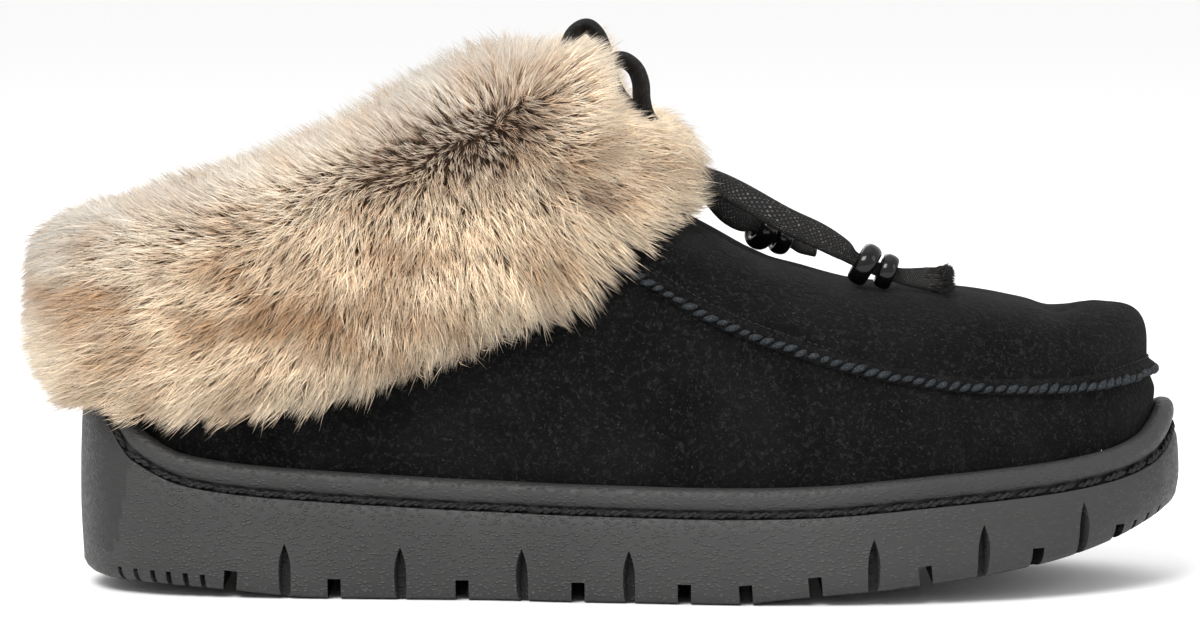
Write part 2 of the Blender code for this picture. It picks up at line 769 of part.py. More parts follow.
def upper_form(grow):
    """The upper as a filled form, grown by a clearance and closed at its edges, for cutting."""
    bm = bmesh.new()
    columns = upper_grid(bm)
    rings = [list(ring) for ring in zip(*columns)]
    join_rings(bm, rings)
    split_quads(bm)
    bmesh.ops.recalc_face_normals(bm, faces=bm.faces)
    bm.normal_update()
    leaning = [column[-1].normal.copy() for column in columns]
    for row, stations in ((0, range(HALF_STATIONS)), (-1, range(THROAT_STATION))):
        for i in stations:
            corners = []
            for k in (i, i + 1, mirrored(i + 1), mirrored(i)):
                vert = columns[k][row]
                if vert not in corners:
                    corners.append(vert)
            if len(corners) > 2:
                bm.faces.new(corners)
    bmesh.ops.recalc_face_normals(bm, faces=bm.faces)
    bm.normal_update()
    shifts = {}
    for i, column in enumerate(columns):
        for row, vert in enumerate(column):
            shifts.setdefault(vert, vert.normal * (grow + max(relief(station_place(i), row), 0)))
        if not is_front(i):
            outward, across = leaning[i].to_2d().normalized(), leaning[i].to_2d().length
            outward *= grow * (1 - RIM_LIFT * leaning[i].z) / across
            shifts[column[-1]] = Vector((outward.x, outward.y, RIM_LIFT * grow))
    for vert, shift in shifts.items():
        vert.co += shift
    return helper("upper_form", bm)


def collar_turns():
    """Places of the fur's sections, from the outer side's cleft round the back to the inner one."""
    last = FUR[-1][0]
    side = [last * (k / 18) ** 0.92 for k in range(19)]
    return [(place, -1) for place in reversed(side)] + [(place, 1) for place in side[1:]]


def collar_edge(place, side):
    """A point of the collar's edge and the plan direction that faces out of the shoe there."""
    step = 0.006
    point = crown_point(place, side)
    back = crown_point(abs(place - step), side if place >= step else -side)
    along_edge = crown_point(place + step, side) - back
    outward = Vector((along_edge.y, -along_edge.x, 0)).normalized() * (-side)
    return point, outward


def fur_section(place, side):
    """One closed section of the fur, outer face first and then back inside the leather's form."""
    edge, outward = collar_edge(place, side)
    reach = FUR_THICKNESS * fur_value("reach", place) - LOCK_LENGTH * 0.5
    crest = FUR_CREST * fur_value("crest", place) - LOCK_LENGTH * 0.3
    drop = BACK_HEIGHT * fur_value("hem_drop", place)
    lip = UPPER_WALL + FUR_LIP * fur_value("lip", place)
    power = 2 / fur_value("squareness", place)
    centre, half = (reach - lip) / 2, (reach + lip) / 2
    shape = []
    for angle in FUR_ANGLES:
        cos, sin = math.cos(math.radians(angle)), math.sin(math.radians(angle))
        out = abs(cos) ** power
        if angle > 0:
            shape.append((centre + math.copysign(half * out, cos), crest * sin ** power))
        else:
            hem = HEM_REACH * reach
            shape.append((hem + (reach - hem) * abs(cos) ** 0.85, -drop * abs(sin) ** 0.85))
    deep = lip + FUR_ROOT_DEPTH
    shape += [(-deep, -0.93 * drop), (-deep, -0.15 * drop)]
    points = []
    for out, up in shape:
        point = edge + outward * out
        point.z += up
        keep_out = CLEFT_HALF_WIDTH + CLEFT_FLARE * max(point.z - THROAT_HEIGHT, 0)
        if place > 0.4 and side * point.y < keep_out:
            point.y = side * keep_out
        points.append(point)
    return points


def build_fur_collar():
    bm = bmesh.new()
    rings = [ring_of(bm, fur_section(place, side)) for place, side in collar_turns()]
    join_rings(bm, rings)
    bm.faces.new(rings[0][::-1])
    bm.faces.new(rings[-1])
    bmesh.ops.recalc_face_normals(bm, faces=bm.faces)
    raise_locks(bm, rings)
    collar = new_object("fur_collar", bm, (0.56, 0.43, 0.32), 0.9)
    cut_away(collar, upper_form(FIT_GAP), self_crossing=False)
    cut_away(collar, sole_form(2 * FIT_GAP), self_crossing=False)
    return collar


def raise_locks(bm, rings):
    """Draws each outer face out to the tip of a lock that leans the way the fur is combed."""
    rng = random.Random(LOCK_SEED)
    count = len(rings[0])
    for ring, after in zip(rings, rings[1:]):
        for k in range(FIRST_LOCK_FACE, FIRST_LOCK_FACE + LOCK_FACES):
            corners = [ring[k], after[k], after[(k + 1) % count], ring[(k + 1) % count]]
            face = bm.faces.get(corners)
            face.normal_update()
            middle = face.calc_center_median()
            combed = (corners[2].co + corners[3].co - corners[0].co - corners[1].co) / 2
            if k < 5:
                combed = -combed * 0.5
            length = LOCK_LENGTH * rng.uniform(0.55, 1.0)
            tip = middle + face.normal * length + combed * rng.uniform(0.20, 0.42)
            made = bmesh.ops.poke(bm, faces=[face])
            made["verts"][0].co = tip


def build_insole():
    inset = CUP_WALL + FIT_GAP + UPPER_WALL + 2 * FIT_GAP
    bm = bmesh.new()
    rows = ((0.0, 0.0), (0.0, 0.72), (INSOLE_EDGE, 1.0))
    rings = [floor_ring(bm, inset + extra, insole_height(share)) for extra, share in rows]
    join_rings(bm, rings)
    join_rings(bm, close_over(bm, rings[0], 1, insole_height(0)))
    join_rings(bm, close_over(bm, rings[-1], 1, insole_height(1)))
    bmesh.ops.recalc_face_normals(bm, faces=bm.faces)
    return new_object("insole", bm, (0.50, 0.40, 0.31), 0.95)


def insole_height(share):
    """Height along the sole of a level in the insole, 0 at its bottom and 1 at its top."""
    return lambda x: cup_floor(x) + 2 * FIT_GAP + INSOLE_THICKNESS * share


# The lace: points chosen by hand in millimetres from the sole's back end, then how far the strap
# is turned about its own line, in degrees, and its size, which shrinks inside the beads
KNOT_CENTRE = (148.6, 0.0, 102.8)
OUTER_END = (
    (152.8, -1.9, 101.0, 90, 0.75),
    (157.0, -4.4, 99.1, 90, 0.95),
    (163.0, -8.2, 96.2, 90, 1.0),
    (173.1, -12.0, 90.7, 90, 1.0),
    (181.3, -13.6, 86.9, 90, 1.0),
    (187.2, -14.4, 83.6, 90, 0.84),
    (190.2, -14.6, 81.3, 90, 0.56),
    (195.4, -14.8, 78.9, 90, 0.54),
    (200.4, -14.8, 77.3, 90, 0.58),
    (203.4, -14.8, 76.7, 60, 0.90),
    (207.8, -14.8, 76.3, 40, 1.08),
    (213.4, -15.0, 76.0, 30, 1.16),
)
INNER_END = (
    (152.2, 2.5, 100.1, 90, 0.75),
    (155.4, 4.6, 96.6, 90, 0.95),
    (160.0, 8.2, 91.4, 90, 1.0),
    (163.6, 10.9, 88.6, 90, 0.84),
    (166.2, 12.6, 87.6, 90, 0.56),
    (171.0, 15.0, 85.0, 90, 0.54),
    (175.6, 16.4, 83.5, 90, 0.58),
    (178.2, 17.2, 82.9, 60, 0.90),
    (182.0, 18.4, 82.3, 30, 1.05),
)
OUTER_LOOP = (
    (147.6, -2.4, 106.9, 60, 0.62),
    (143.6, -4.5, 111.0, 60, 0.85),
    (139.8, -6.4, 115.3, 60, 0.97),
    (138.5, -7.2, 119.5, 60, 1.0),
    (138.2, -7.4, 123.9, 60, 1.0),
    (136.6, -7.4, 127.6, 60, 1.0),
    (133.2, -7.2, 129.5, 60, 1.0),
    (129.4, -6.8, 127.4, 60, 1.0),
    (128.0, -6.4, 122.4, 60, 1.0),
    (131.0, -5.6, 115.6, 60, 1.0),
    (138.2, -4.2, 109.0, 60, 0.9),
    (144.6, -2.5, 104.3, 60, 0.62),
)
INNER_LOOP = (
    (148.3, 2.5, 106.9, -30, 0.62),
    (143.6, 4.2, 111.0, -30, 0.85),
    (137.4, 5.4, 115.4, -30, 0.95),
    (132.8, 7.0, 120.0, -30, 1.0),
    (130.4, 8.6, 125.6, -30, 1.0),
    (129.2, 9.4, 131.0, -30, 1.0),
    (127.4, 9.8, 135.2, -30, 1.0),
    (124.8, 9.8, 137.0, -30, 1.0),
    (121.6, 9.6, 135.0, -30, 1.0),
    (119.8, 8.8, 130.0, -30, 1.0),
    (121.0, 7.4, 124.0, -30, 1.0),
    (125.4, 5.6, 118.0, -30, 1.0),
    (132.0, 4.4, 112.4, -30, 0.95),
    (138.8, 3.4, 107.6, -30, 0.85),
    (144.6, 2.5, 104.2, -30, 0.62),
)
BEADS = (
    ("bead_outer_large", (192.9, -14.7, 79.8), (5.2, -0.2, -3.1), BEAD_LARGE, 4.8 * MM),
    ("bead_outer_small", (198.2, -14.8, 78.1), (4.9, 0.0, -2.0), BEAD_SMALL, 4.0 * MM),
    ("bead_inner_large", (168.6, 13.9, 86.4), (4.6, 2.2, -2.4), BEAD_LARGE, 4.8 * MM),
    ("bead_inner_small", (173.4, 15.7, 84.2), (4.7, 1.6, -1.5), BEAD_SMALL, 4.0 * MM),
)


def smooth_route(rows, per_span):
    """Points on a smooth curve through the route's own points, with turn and size carried along."""
    made = []
    for k in range(len(rows) - 1):
        quad = [rows[max(k - 1, 0)], rows[k], rows[k + 1], rows[min(k + 2, len(rows) - 1)]]
        for step in range(per_span):
            t = step / per_span
            made.append(
                [
                    0.5 * (2 * b + (c - a) * t + (2 * a - 5 * b + 4 * c - d) * t * t + (3 * b - a - 3 * c + d) * t ** 3)
                    for a, b, c, d in zip(*quad)
                ]
            )
    made.append(list(rows[-1]))
    return made


def build_strap(name, rows, per_span=2):
    """A flat woven strap that follows a route: a curve with a stadium section and filled caps."""
    curve = bpy.data.curves.new(name, "CURVE")
    curve.dimensions = "3D"
    curve.twist_mode = "MINIMUM"
    curve.bevel_depth = LACE_THICKNESS / 2
    curve.extrude = (LACE_WIDTH - LACE_THICKNESS) / 2
    curve.bevel_resolution = 1
    curve.use_fill_caps = True
    spline = curve.splines.new("POLY")
    points = smooth_route(rows, per_span)
    spline.points.add(len(points) - 1)
    for point, (x, y, z, turn, size) in zip(spline.points, points):
        point.co = (x * MM, y * MM, z * MM, 1)
        point.tilt = math.radians(turn)
        point.radius = size
    obj = bpy.data.objects.new(name, curve)
    bpy.context.scene.collection.objects.link(obj)
    finish(obj, (0.014, 0.014, 0.015), 0.5)
    return obj


def build_knot():
    """The knot between the two lobes: the strap wrapped once round itself."""
    bm = bmesh.new()
    bmesh.ops.create_uvsphere(bm, u_segments=14, v_segments=8, radius=0.5)
    for vert in bm.verts:
        waist = 1 - 0.16 * math.cos(2 * math.pi * vert.co.x) ** 2
        vert.co.x *= KNOT_LENGTH
        vert.co.y *= 2 * (CLEFT_HALF_WIDTH - 2 * FIT_GAP) * waist
        vert.co.z *= KNOT_HEIGHT * waist
        vert.co += Vector(KNOT_CENTRE) * MM
    return new_object("lace_knot", bm, (0.014, 0.014, 0.015), 0.5)


def build_bead(name, centre, axis, diameter, length):
    """A turned ring bead: an oval section spun about the lace."""
    bm = bmesh.new()
    bore, rim = BEAD_BORE / 2, diameter / 2
    middle, radial = (bore + rim) / 2, (rim - bore) / 2
    sides, turns = 7, 12
    ring = []
    for k in range(sides):
        angle = 2 * math.pi * k / sides
        ring.append(bm.verts.new((middle + radial * math.cos(angle), 0, length / 2 * math.sin(angle))))
    edges = [bm.edges.new((ring[k], ring[(k + 1) % sides])) for k in range(sides)]
    bmesh.ops.spin(
        bm, geom=ring + edges, angle=2 * math.pi, steps=turns, axis=(0, 0, 1), cent=(0, 0, 0), use_merge=True
    )
    bmesh.ops.recalc_face_normals(bm, faces=bm.faces)
    bead = new_object(name, bm, (0.008, 0.008, 0.009), 0.12)
    bead.rotation_mode = "QUATERNION"
    bead.rotation_quaternion = Vector(axis).to_track_quat("Z", "Y")
    bead.location = Vector(centre) * MM
    return bead


def clear_scene():
    for obj in list(bpy.data.objects):
        bpy.data.objects.remove(obj)


def main():
    clear_scene()
    build_sole()
    build_upper()
    build_fur_collar()
    build_insole()
    build_knot()
    build_strap("lace_end_outer", OUTER_END)
    build_strap("lace_end_inner", INNER_END)
    build_strap("lace_loop_outer", OUTER_LOOP)
    build_strap("lace_loop_inner", INNER_LOOP)
    for bead in BEADS:
        build_bead(*bead)
    ground = bpy.data.objects.new("ground_point", None)
    bpy.context.scene.collection.objects.link(ground)
    for obj in list(bpy.data.objects):
        if obj is not ground:
            obj.parent = ground
    ground.location.x = -ORIGIN_SHARE * SOLE_LENGTH


main()
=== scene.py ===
"""Fur-collared moccasin mule, a right shoe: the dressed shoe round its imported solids.

+X points to the toe, +Y to the wearer's left (the inner side) and +Z up, in metres. The forms
are drawn from the back end of the sole and then moved so that the origin is on the floor under
the middle of the foot, as in the solids.
"""

import json
import math

import bmesh
import bpy
import numpy as np
from mathutils import Matrix, Vector, kdtree, noise
from mathutils.bvhtree import BVHTree
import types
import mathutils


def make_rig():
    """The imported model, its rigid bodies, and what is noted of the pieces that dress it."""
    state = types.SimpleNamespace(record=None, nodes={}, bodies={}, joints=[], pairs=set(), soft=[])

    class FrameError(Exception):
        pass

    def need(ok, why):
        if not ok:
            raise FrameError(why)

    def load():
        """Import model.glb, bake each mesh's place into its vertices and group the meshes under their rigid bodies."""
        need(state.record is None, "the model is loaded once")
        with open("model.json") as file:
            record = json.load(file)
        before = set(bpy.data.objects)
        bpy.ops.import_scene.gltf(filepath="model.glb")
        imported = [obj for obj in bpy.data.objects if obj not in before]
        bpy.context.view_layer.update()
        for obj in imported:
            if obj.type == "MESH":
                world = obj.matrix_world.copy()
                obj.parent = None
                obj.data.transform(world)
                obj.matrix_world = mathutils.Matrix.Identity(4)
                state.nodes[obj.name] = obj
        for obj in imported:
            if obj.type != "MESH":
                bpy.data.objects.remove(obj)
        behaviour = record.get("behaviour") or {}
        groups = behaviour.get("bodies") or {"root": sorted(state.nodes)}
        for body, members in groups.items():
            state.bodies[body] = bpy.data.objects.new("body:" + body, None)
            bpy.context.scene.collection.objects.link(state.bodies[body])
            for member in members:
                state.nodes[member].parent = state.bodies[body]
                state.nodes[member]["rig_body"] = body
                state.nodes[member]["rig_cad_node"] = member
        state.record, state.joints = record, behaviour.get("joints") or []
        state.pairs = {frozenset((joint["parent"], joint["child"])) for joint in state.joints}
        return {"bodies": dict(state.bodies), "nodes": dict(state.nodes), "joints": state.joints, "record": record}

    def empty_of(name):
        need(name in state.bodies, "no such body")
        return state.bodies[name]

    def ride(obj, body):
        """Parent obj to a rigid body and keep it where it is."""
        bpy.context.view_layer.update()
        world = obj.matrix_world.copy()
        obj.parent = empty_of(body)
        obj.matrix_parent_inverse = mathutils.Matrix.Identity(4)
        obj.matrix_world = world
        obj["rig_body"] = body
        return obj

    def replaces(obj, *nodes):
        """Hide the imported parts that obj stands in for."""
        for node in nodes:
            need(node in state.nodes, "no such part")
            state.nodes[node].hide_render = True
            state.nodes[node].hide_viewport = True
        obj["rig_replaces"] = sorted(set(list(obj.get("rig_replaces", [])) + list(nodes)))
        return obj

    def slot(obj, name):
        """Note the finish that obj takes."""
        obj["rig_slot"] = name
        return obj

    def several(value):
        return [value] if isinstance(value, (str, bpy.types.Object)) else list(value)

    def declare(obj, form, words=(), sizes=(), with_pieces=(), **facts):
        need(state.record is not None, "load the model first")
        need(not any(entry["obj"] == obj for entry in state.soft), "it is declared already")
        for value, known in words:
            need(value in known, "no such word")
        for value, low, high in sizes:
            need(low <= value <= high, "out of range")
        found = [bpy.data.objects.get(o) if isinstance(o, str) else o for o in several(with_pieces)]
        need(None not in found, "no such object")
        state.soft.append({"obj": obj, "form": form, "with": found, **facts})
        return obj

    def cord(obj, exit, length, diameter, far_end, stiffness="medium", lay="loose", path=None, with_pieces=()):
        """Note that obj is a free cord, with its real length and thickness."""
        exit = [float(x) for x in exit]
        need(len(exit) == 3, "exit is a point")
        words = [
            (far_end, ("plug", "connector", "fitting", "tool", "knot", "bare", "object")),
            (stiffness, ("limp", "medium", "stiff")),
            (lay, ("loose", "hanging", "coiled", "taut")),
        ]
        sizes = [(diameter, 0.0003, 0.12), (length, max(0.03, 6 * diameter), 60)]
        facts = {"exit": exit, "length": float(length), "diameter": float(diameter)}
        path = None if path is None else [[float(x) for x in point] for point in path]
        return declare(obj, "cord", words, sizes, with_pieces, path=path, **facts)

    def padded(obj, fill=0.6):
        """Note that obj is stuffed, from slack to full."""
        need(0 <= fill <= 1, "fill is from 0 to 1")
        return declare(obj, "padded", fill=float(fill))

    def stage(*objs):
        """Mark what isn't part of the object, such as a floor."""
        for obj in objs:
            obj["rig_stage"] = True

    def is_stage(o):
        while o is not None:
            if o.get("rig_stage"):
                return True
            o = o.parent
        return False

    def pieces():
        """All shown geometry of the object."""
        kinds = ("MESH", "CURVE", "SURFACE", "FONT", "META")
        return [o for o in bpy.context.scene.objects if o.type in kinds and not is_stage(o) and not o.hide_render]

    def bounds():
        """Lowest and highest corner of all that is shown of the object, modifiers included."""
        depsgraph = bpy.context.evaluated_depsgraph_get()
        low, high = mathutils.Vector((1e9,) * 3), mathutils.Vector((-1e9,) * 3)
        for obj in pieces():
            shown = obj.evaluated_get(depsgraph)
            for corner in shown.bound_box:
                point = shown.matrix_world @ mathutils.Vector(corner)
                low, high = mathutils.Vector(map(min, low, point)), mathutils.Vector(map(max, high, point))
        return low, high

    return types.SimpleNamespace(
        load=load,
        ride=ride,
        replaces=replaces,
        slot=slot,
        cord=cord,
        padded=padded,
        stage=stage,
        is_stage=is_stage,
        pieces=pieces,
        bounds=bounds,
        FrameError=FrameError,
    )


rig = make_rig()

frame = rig.load()
CAD_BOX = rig.bounds()

MM = 0.001

# Driving sizes of the sole
SOLE_LENGTH = 272 * MM
BALL_WIDTH = 98 * MM
HEEL_WIDTH = 71 * MM
SIDE_HEIGHT = 28.2 * MM  # floor to the top of the bead, at the ball
HEEL_CUP_HEIGHT = 54 * MM  # floor to the top of the rubber behind the heel
TOE_BUMPER_HEIGHT = 45 * MM
HEEL_SPRING = 3.6 * MM
TOE_SPRING = 19 * MM
FOOTBED_HEEL = 22 * MM  # floor to the bottom of the cup, at the heel
FOOTBED_BALL = 15.5 * MM
FOOTBED_TOE = 33 * MM
BEAD_HEIGHT = 5.4 * MM
GROOVE_HEIGHT = 2.0 * MM
GROOVE_DEPTH = 1.9 * MM
CUP_WALL = 6.2 * MM  # widest outline to the inside of the cup

# Driving sizes of the upper, as heights above the floor
BACK_HEIGHT = 80 * MM
PEAK_HEIGHT = 115 * MM
THROAT_HEIGHT = 103.5 * MM
TOE_BOX_HEIGHT = 69 * MM
SEAM_TOE_HEIGHT = 51 * MM
UPPER_WALL = 2.2 * MM
UPPER_TUCK = 1 * MM  # how far below the bead's top the wall leaves the cup
SEAM_OVER_BEAD = 6 * MM  # least rise of the seam above the bead

# Insole, lace and beads, and the cleft in the fur that the knot sits in
CLEFT_HALF_WIDTH = 4.6 * MM
INSOLE_THICKNESS = 5 * MM
INSOLE_EDGE = 1.6 * MM
LACE_WIDTH = 6.4 * MM
LACE_THICKNESS = 2.6 * MM
BEAD_LARGE = 10.8 * MM
BEAD_SMALL = 8.8 * MM
BEAD_BORE = 4.4 * MM
KNOT_LENGTH = 9 * MM
KNOT_HEIGHT = 8.6 * MM

FIT_GAP = 0.3 * MM
ORIGIN_SHARE = 0.472  # of the sole's length, ahead of its back end

THROAT_PLACE = 17 / 32

# Widest outline: half width as shares of the ball and heel widths, and the middle line's shift
# towards the inner side as a share of the ball width
OUTLINE_COLUMNS = ("along", "of_ball", "of_heel", "shift")
OUTLINE = (
    (0.000, 0.000, 0.000, 0.000),
    (0.012, 0.000, 0.225, 0.000),
    (0.037, 0.000, 0.355, 0.000),
    (0.090, 0.000, 0.458, 0.000),
    (0.184, 0.000, 0.500, -0.005),
    (0.300, 0.180, 0.245, -0.030),
    (0.405, 0.368, 0.000, -0.050),
    (0.515, 0.416, 0.000, -0.050),
    (0.625, 0.474, 0.000, -0.030),
    (0.720, 0.500, 0.000, -0.010),
    (0.810, 0.482, 0.000, 0.020),
    (0.880, 0.424, 0.000, 0.045),
    (0.930, 0.345, 0.000, 0.062),
    (0.965, 0.252, 0.000, 0.073),
    (0.988, 0.150, 0.000, 0.080),
    (1.000, 0.000, 0.000, 0.082),
)

# Along the sole: the tread's rise as shares of the heel and toe spring, the bead's climb towards
# the heel cup and the toe bumper, and the cup floor's climb towards the heel and the toe
SIDE_COLUMNS = ("along", "heel_spring", "toe_spring", "to_cup", "to_bumper", "bed_heel", "bed_toe")
SIDE = (
    (0.000, 1.00, 0.000, 1.000, 0.00, 1.00, 0.00),
    (0.017, 0.95, 0.000, 0.975, 0.00, 1.00, 0.00),
    (0.030, 0.92, 0.000, 0.830, 0.00, 1.00, 0.00),
    (0.040, 0.90, 0.000, 0.670, 0.00, 1.00, 0.00),
    (0.052, 0.87, 0.000, 0.500, 0.00, 1.00, 0.00),
    (0.075, 0.82, 0.000, 0.350, 0.00, 0.99, 0.00),
    (0.100, 0.72, 0.000, 0.252, 0.00, 0.98, 0.00),
    (0.136, 0.53, 0.000, 0.190, 0.00, 0.96, 0.00),
    (0.188, 0.18, 0.000, 0.140, 0.00, 0.90, 0.00),
    (0.222, 0.00, 0.000, 0.116, 0.00, 0.84, 0.00),
    (0.254, 0.00, 0.000, 0.095, 0.00, 0.78, 0.00),
    (0.300, 0.00, 0.000, 0.070, 0.00, 0.62, 0.00),
    (0.357, 0.00, 0.000, 0.042, 0.00, 0.42, 0.00),
    (0.478, 0.00, 0.000, 0.010, 0.00, 0.12, 0.00),
    (0.560, 0.00, 0.000, 0.000, 0.00, 0.02, 0.00),
    (0.598, 0.00, 0.000, 0.000, 0.005, 0.01, 0.00),
    (0.618, 0.00, 0.040, 0.000, 0.01, 0.00, 0.00),
    (0.671, 0.00, 0.125, 0.000, 0.045, 0.00, 0.02),
    (0.720, 0.00, 0.185, 0.000, 0.11, 0.00, 0.06),
    (0.772, 0.00, 0.262, 0.000, 0.18, 0.00, 0.13),
    (0.824, 0.00, 0.360, 0.000, 0.243, 0.00, 0.27),
    (0.879, 0.00, 0.480, 0.000, 0.31, 0.00, 0.48),
    (0.922, 0.00, 0.620, 0.000, 0.39, 0.00, 0.68),
    (0.950, 0.00, 0.745, 0.000, 0.475, 0.00, 0.82),
    (0.972, 0.00, 0.860, 0.000, 0.60, 0.00, 0.91),
    (0.987, 0.00, 0.940, 0.000, 0.78, 0.00, 0.96),
    (0.994, 0.00, 0.975, 0.000, 0.91, 0.00, 0.98),
    (1.000, 0.00, 1.000, 0.000, 1.00, 0.00, 1.00),
)

# The moccasin seam, by the place on the outline: how far inside the outline, as a share of the
# ball width, how square the form above it is, and how much of a quarter turn that form makes by
# its edge
SEAM_COLUMNS = ("place", "inset", "squareness", "arc")
SEAM = (
    (0.000, 0.052, 2.0, 0.40),
    (0.200, 0.070, 2.0, 0.40),
    (0.360, 0.068, 2.0, 0.45),
    (0.440, 0.082, 1.9, 0.60),
    (0.500, 0.094, 1.7, 0.88),
    (0.545, 0.098, 1.7, 1.00),
    (0.600, 0.098, 1.8, 1.00),
    (0.650, 0.097, 2.0, 1.00),
    (0.720, 0.096, 2.3, 1.00),
    (0.790, 0.092, 2.6, 1.00),
    (0.880, 0.083, 3.0, 1.00),
    (1.000, 0.078, 3.6, 1.00),
)

# How far the seam's line has climbed along the sole, from its height at the toe to the throat's
SEAM_LINE_COLUMNS = ("along", "climb")
SEAM_LINE = (
    (0.000, 0.170),
    (0.100, 0.250),
    (0.200, 0.360),
    (0.300, 0.500),
    (0.400, 0.590),
    (0.470, 0.590),
    (0.518, 0.500),
    (0.548, 0.402),
    (0.581, 0.316),
    (0.618, 0.240),
    (0.654, 0.178),
    (0.688, 0.126),
    (0.724, 0.080),
    (0.765, 0.042),
    (0.802, 0.017),
    (0.846, 0.003),
    (0.890, -0.003),
    (0.934, 0.009),
    (0.967, 0.032),
    (1.000, 0.038),
)

# The collar's edge from the back to the throat: how far along and across it stands, how far it
# has climbed from the back's height to the peak's, and sunk from there to the throat's
COLLAR_COLUMNS = ("place", "along", "across", "climb", "sink")
COLLAR = (
    (0.00000, 0.024, 0.000, 0.00, 0.00),
    (0.04500, 0.031, 0.135, 0.02, 0.00),
    (0.10500, 0.060, 0.232, 0.10, 0.00),
    (0.17500, 0.112, 0.290, 0.23, 0.00),
    (0.24000, 0.170, 0.318, 0.38, 0.00),
    (0.30000, 0.232, 0.334, 0.56, 0.00),
    (0.36000, 0.305, 0.338, 0.80, 0.00),
    (0.40000, 0.358, 0.326, 0.96, 0.00),
    (0.44000, 0.403, 0.290, 1.00, 0.03),
    (0.47000, 0.434, 0.230, 1.00, 0.30),
    (0.50000, 0.457, 0.125, 1.00, 0.72),
    (0.53125, 0.471, 0.000, 1.00, 1.00),
)

# Where the apron's ridge stands along the sole, by the place on the outline, and how much of the
# fall from the throat to the toe box is left along it
RIDGE_COLUMNS = ("place", "along")
RIDGE = (
    (0.53125, 0.471),
    (0.56250, 0.533),
    (0.60000, 0.600),
    (0.65000, 0.680),
    (0.72000, 0.768),
    (0.79000, 0.843),
    (0.85000, 0.886),
    (0.90000, 0.905),
    (0.95000, 0.916),
    (1.00000, 0.922),
)
APRON_COLUMNS = ("along", "rise")
APRON = (
    (0.471, 1.000),
    (0.495, 0.860),
    (0.516, 0.740),
    (0.538, 0.650),
    (0.559, 0.560),
    (0.582, 0.455),
    (0.594, 0.410),
    (0.608, 0.360),
    (0.640, 0.290),
    (0.665, 0.231),
    (0.691, 0.183),
    (0.735, 0.148),
    (0.789, 0.111),
    (0.815, 0.077),
    (0.833, 0.046),
    (0.851, 0.020),
    (0.869, -0.006),
    (0.887, -0.022),
    (0.905, -0.014),
    (0.922, 0.000),
)

# Cuts in the sole's edge, as shares of the sole's length ahead of its back end
ROUND_TOPPED_CUTS = (0.191, 0.294, 0.402, 0.497, 0.713, 0.811, 0.903)
ROUND_TOPPED_HEIGHT = 14.2 * MM
ROUND_TOPPED_WIDTH = 4.2 * MM
ROUND_TOPPED_DEPTH = 4.0 * MM
ROUND_TOPPED_DROP = 6 * MM  # drawn below the tread, so that the cut is open there
TREAD_GROOVES = (0.1415, 0.235, 0.349, 0.452, 0.546, 0.601, 0.6625, 0.760)
TOE_GROOVES = (0.861, 0.938)
TOE_GROOVE_DEPTH = 24 * MM
TREAD_GROOVE_WIDTH = 3.2 * MM
TREAD_GROOVE_HEIGHT = 5.2 * MM
HEEL_SIPES = (0.040, 0.055, 0.071, 0.086, 0.1015, 0.117)
TOE_SIPES = (0.954, 0.967, 0.979)
SIPE_WIDTH = 1.3 * MM
SIPE_HEIGHT = 2.8 * MM
SIPE_DEPTH = 5.0 * MM


def table_curve(rows, columns, column, x):
    """The named column of a table at x, on a smooth curve that never overshoots its rows."""
    xs = [row[0] for row in rows]
    ys = [row[columns.index(column)] for row in rows]
    x = min(max(x, xs[0]), xs[-1])
    k = max(i for i in range(len(xs) - 1) if x >= xs[i])
    steps = [b - a for a, b in zip(xs, xs[1:])]
    slopes = [(b - a) / h for a, b, h in zip(ys, ys[1:], steps)]

    def tangent(i):
        if i == 0 or i == len(xs) - 1:
            return slopes[0] if i == 0 else slopes[-1]
        if slopes[i - 1] * slopes[i] <= 0:
            return 0.0
        before, after = steps[i - 1], steps[i]
        w1, w2 = 2 * after + before, after + 2 * before
        return (w1 + w2) / (w1 / slopes[i - 1] + w2 / slopes[i])

    h = steps[k]
    t = (x - xs[k]) / h
    return (
        ys[k] * (1 + 2 * t) * (1 - t) ** 2
        + tangent(k) * h * t * (1 - t) ** 2
        + ys[k + 1] * t * t * (3 - 2 * t)
        - tangent(k + 1) * h * t * t * (1 - t)
    )


def outline_value(column, along):
    return table_curve(OUTLINE, OUTLINE_COLUMNS, column, along)


def side_value(column, along):
    return table_curve(SIDE, SIDE_COLUMNS, column, along)


def seam_value(column, place):
    return table_curve(SEAM, SEAM_COLUMNS, column, place)


def collar_value(column, place):
    return table_curve(COLLAR, COLLAR_COLUMNS, column, place)


def half_width(along):
    """Half the sole's width. Near the ends it follows the square root, which rounds them."""
    ends = OUTLINE[1][0], OUTLINE[-2][0]
    if along < ends[0]:
        return half_width(ends[0]) * math.sqrt(max(along, 0) / ends[0])
    if along > ends[1]:
        return half_width(ends[1]) * math.sqrt(max(1 - along, 0) / (1 - ends[1]))
    return BALL_WIDTH * outline_value("of_ball", along) + HEEL_WIDTH * outline_value("of_heel", along)


def middle_line(along):
    return BALL_WIDTH * outline_value("shift", along)


def place_along(place):
    """Share of the length at a place on the outline, 0 at the back and 1 at the toe."""
    return (1 - math.cos(math.pi * place)) / 2


def outline_point(turn, inset=0.0):
    """A point on the outline, 0 to 1 up the outer side and 1 to 2 back down the inner side."""

    def raw(at):
        place, side = (at, -1) if at <= 1 else (2 - at, 1)
        along = place_along(abs(place))
        side = side if place >= 0 else -side
        return Vector((SOLE_LENGTH * along, middle_line(along) + side * half_width(along), 0))

    step = 0.004
    tangent = (raw(turn + step) - raw(turn - step)).normalized()
    outward = Vector((tangent.y, -tangent.x, 0))
    return raw(turn) - outward * inset, outward


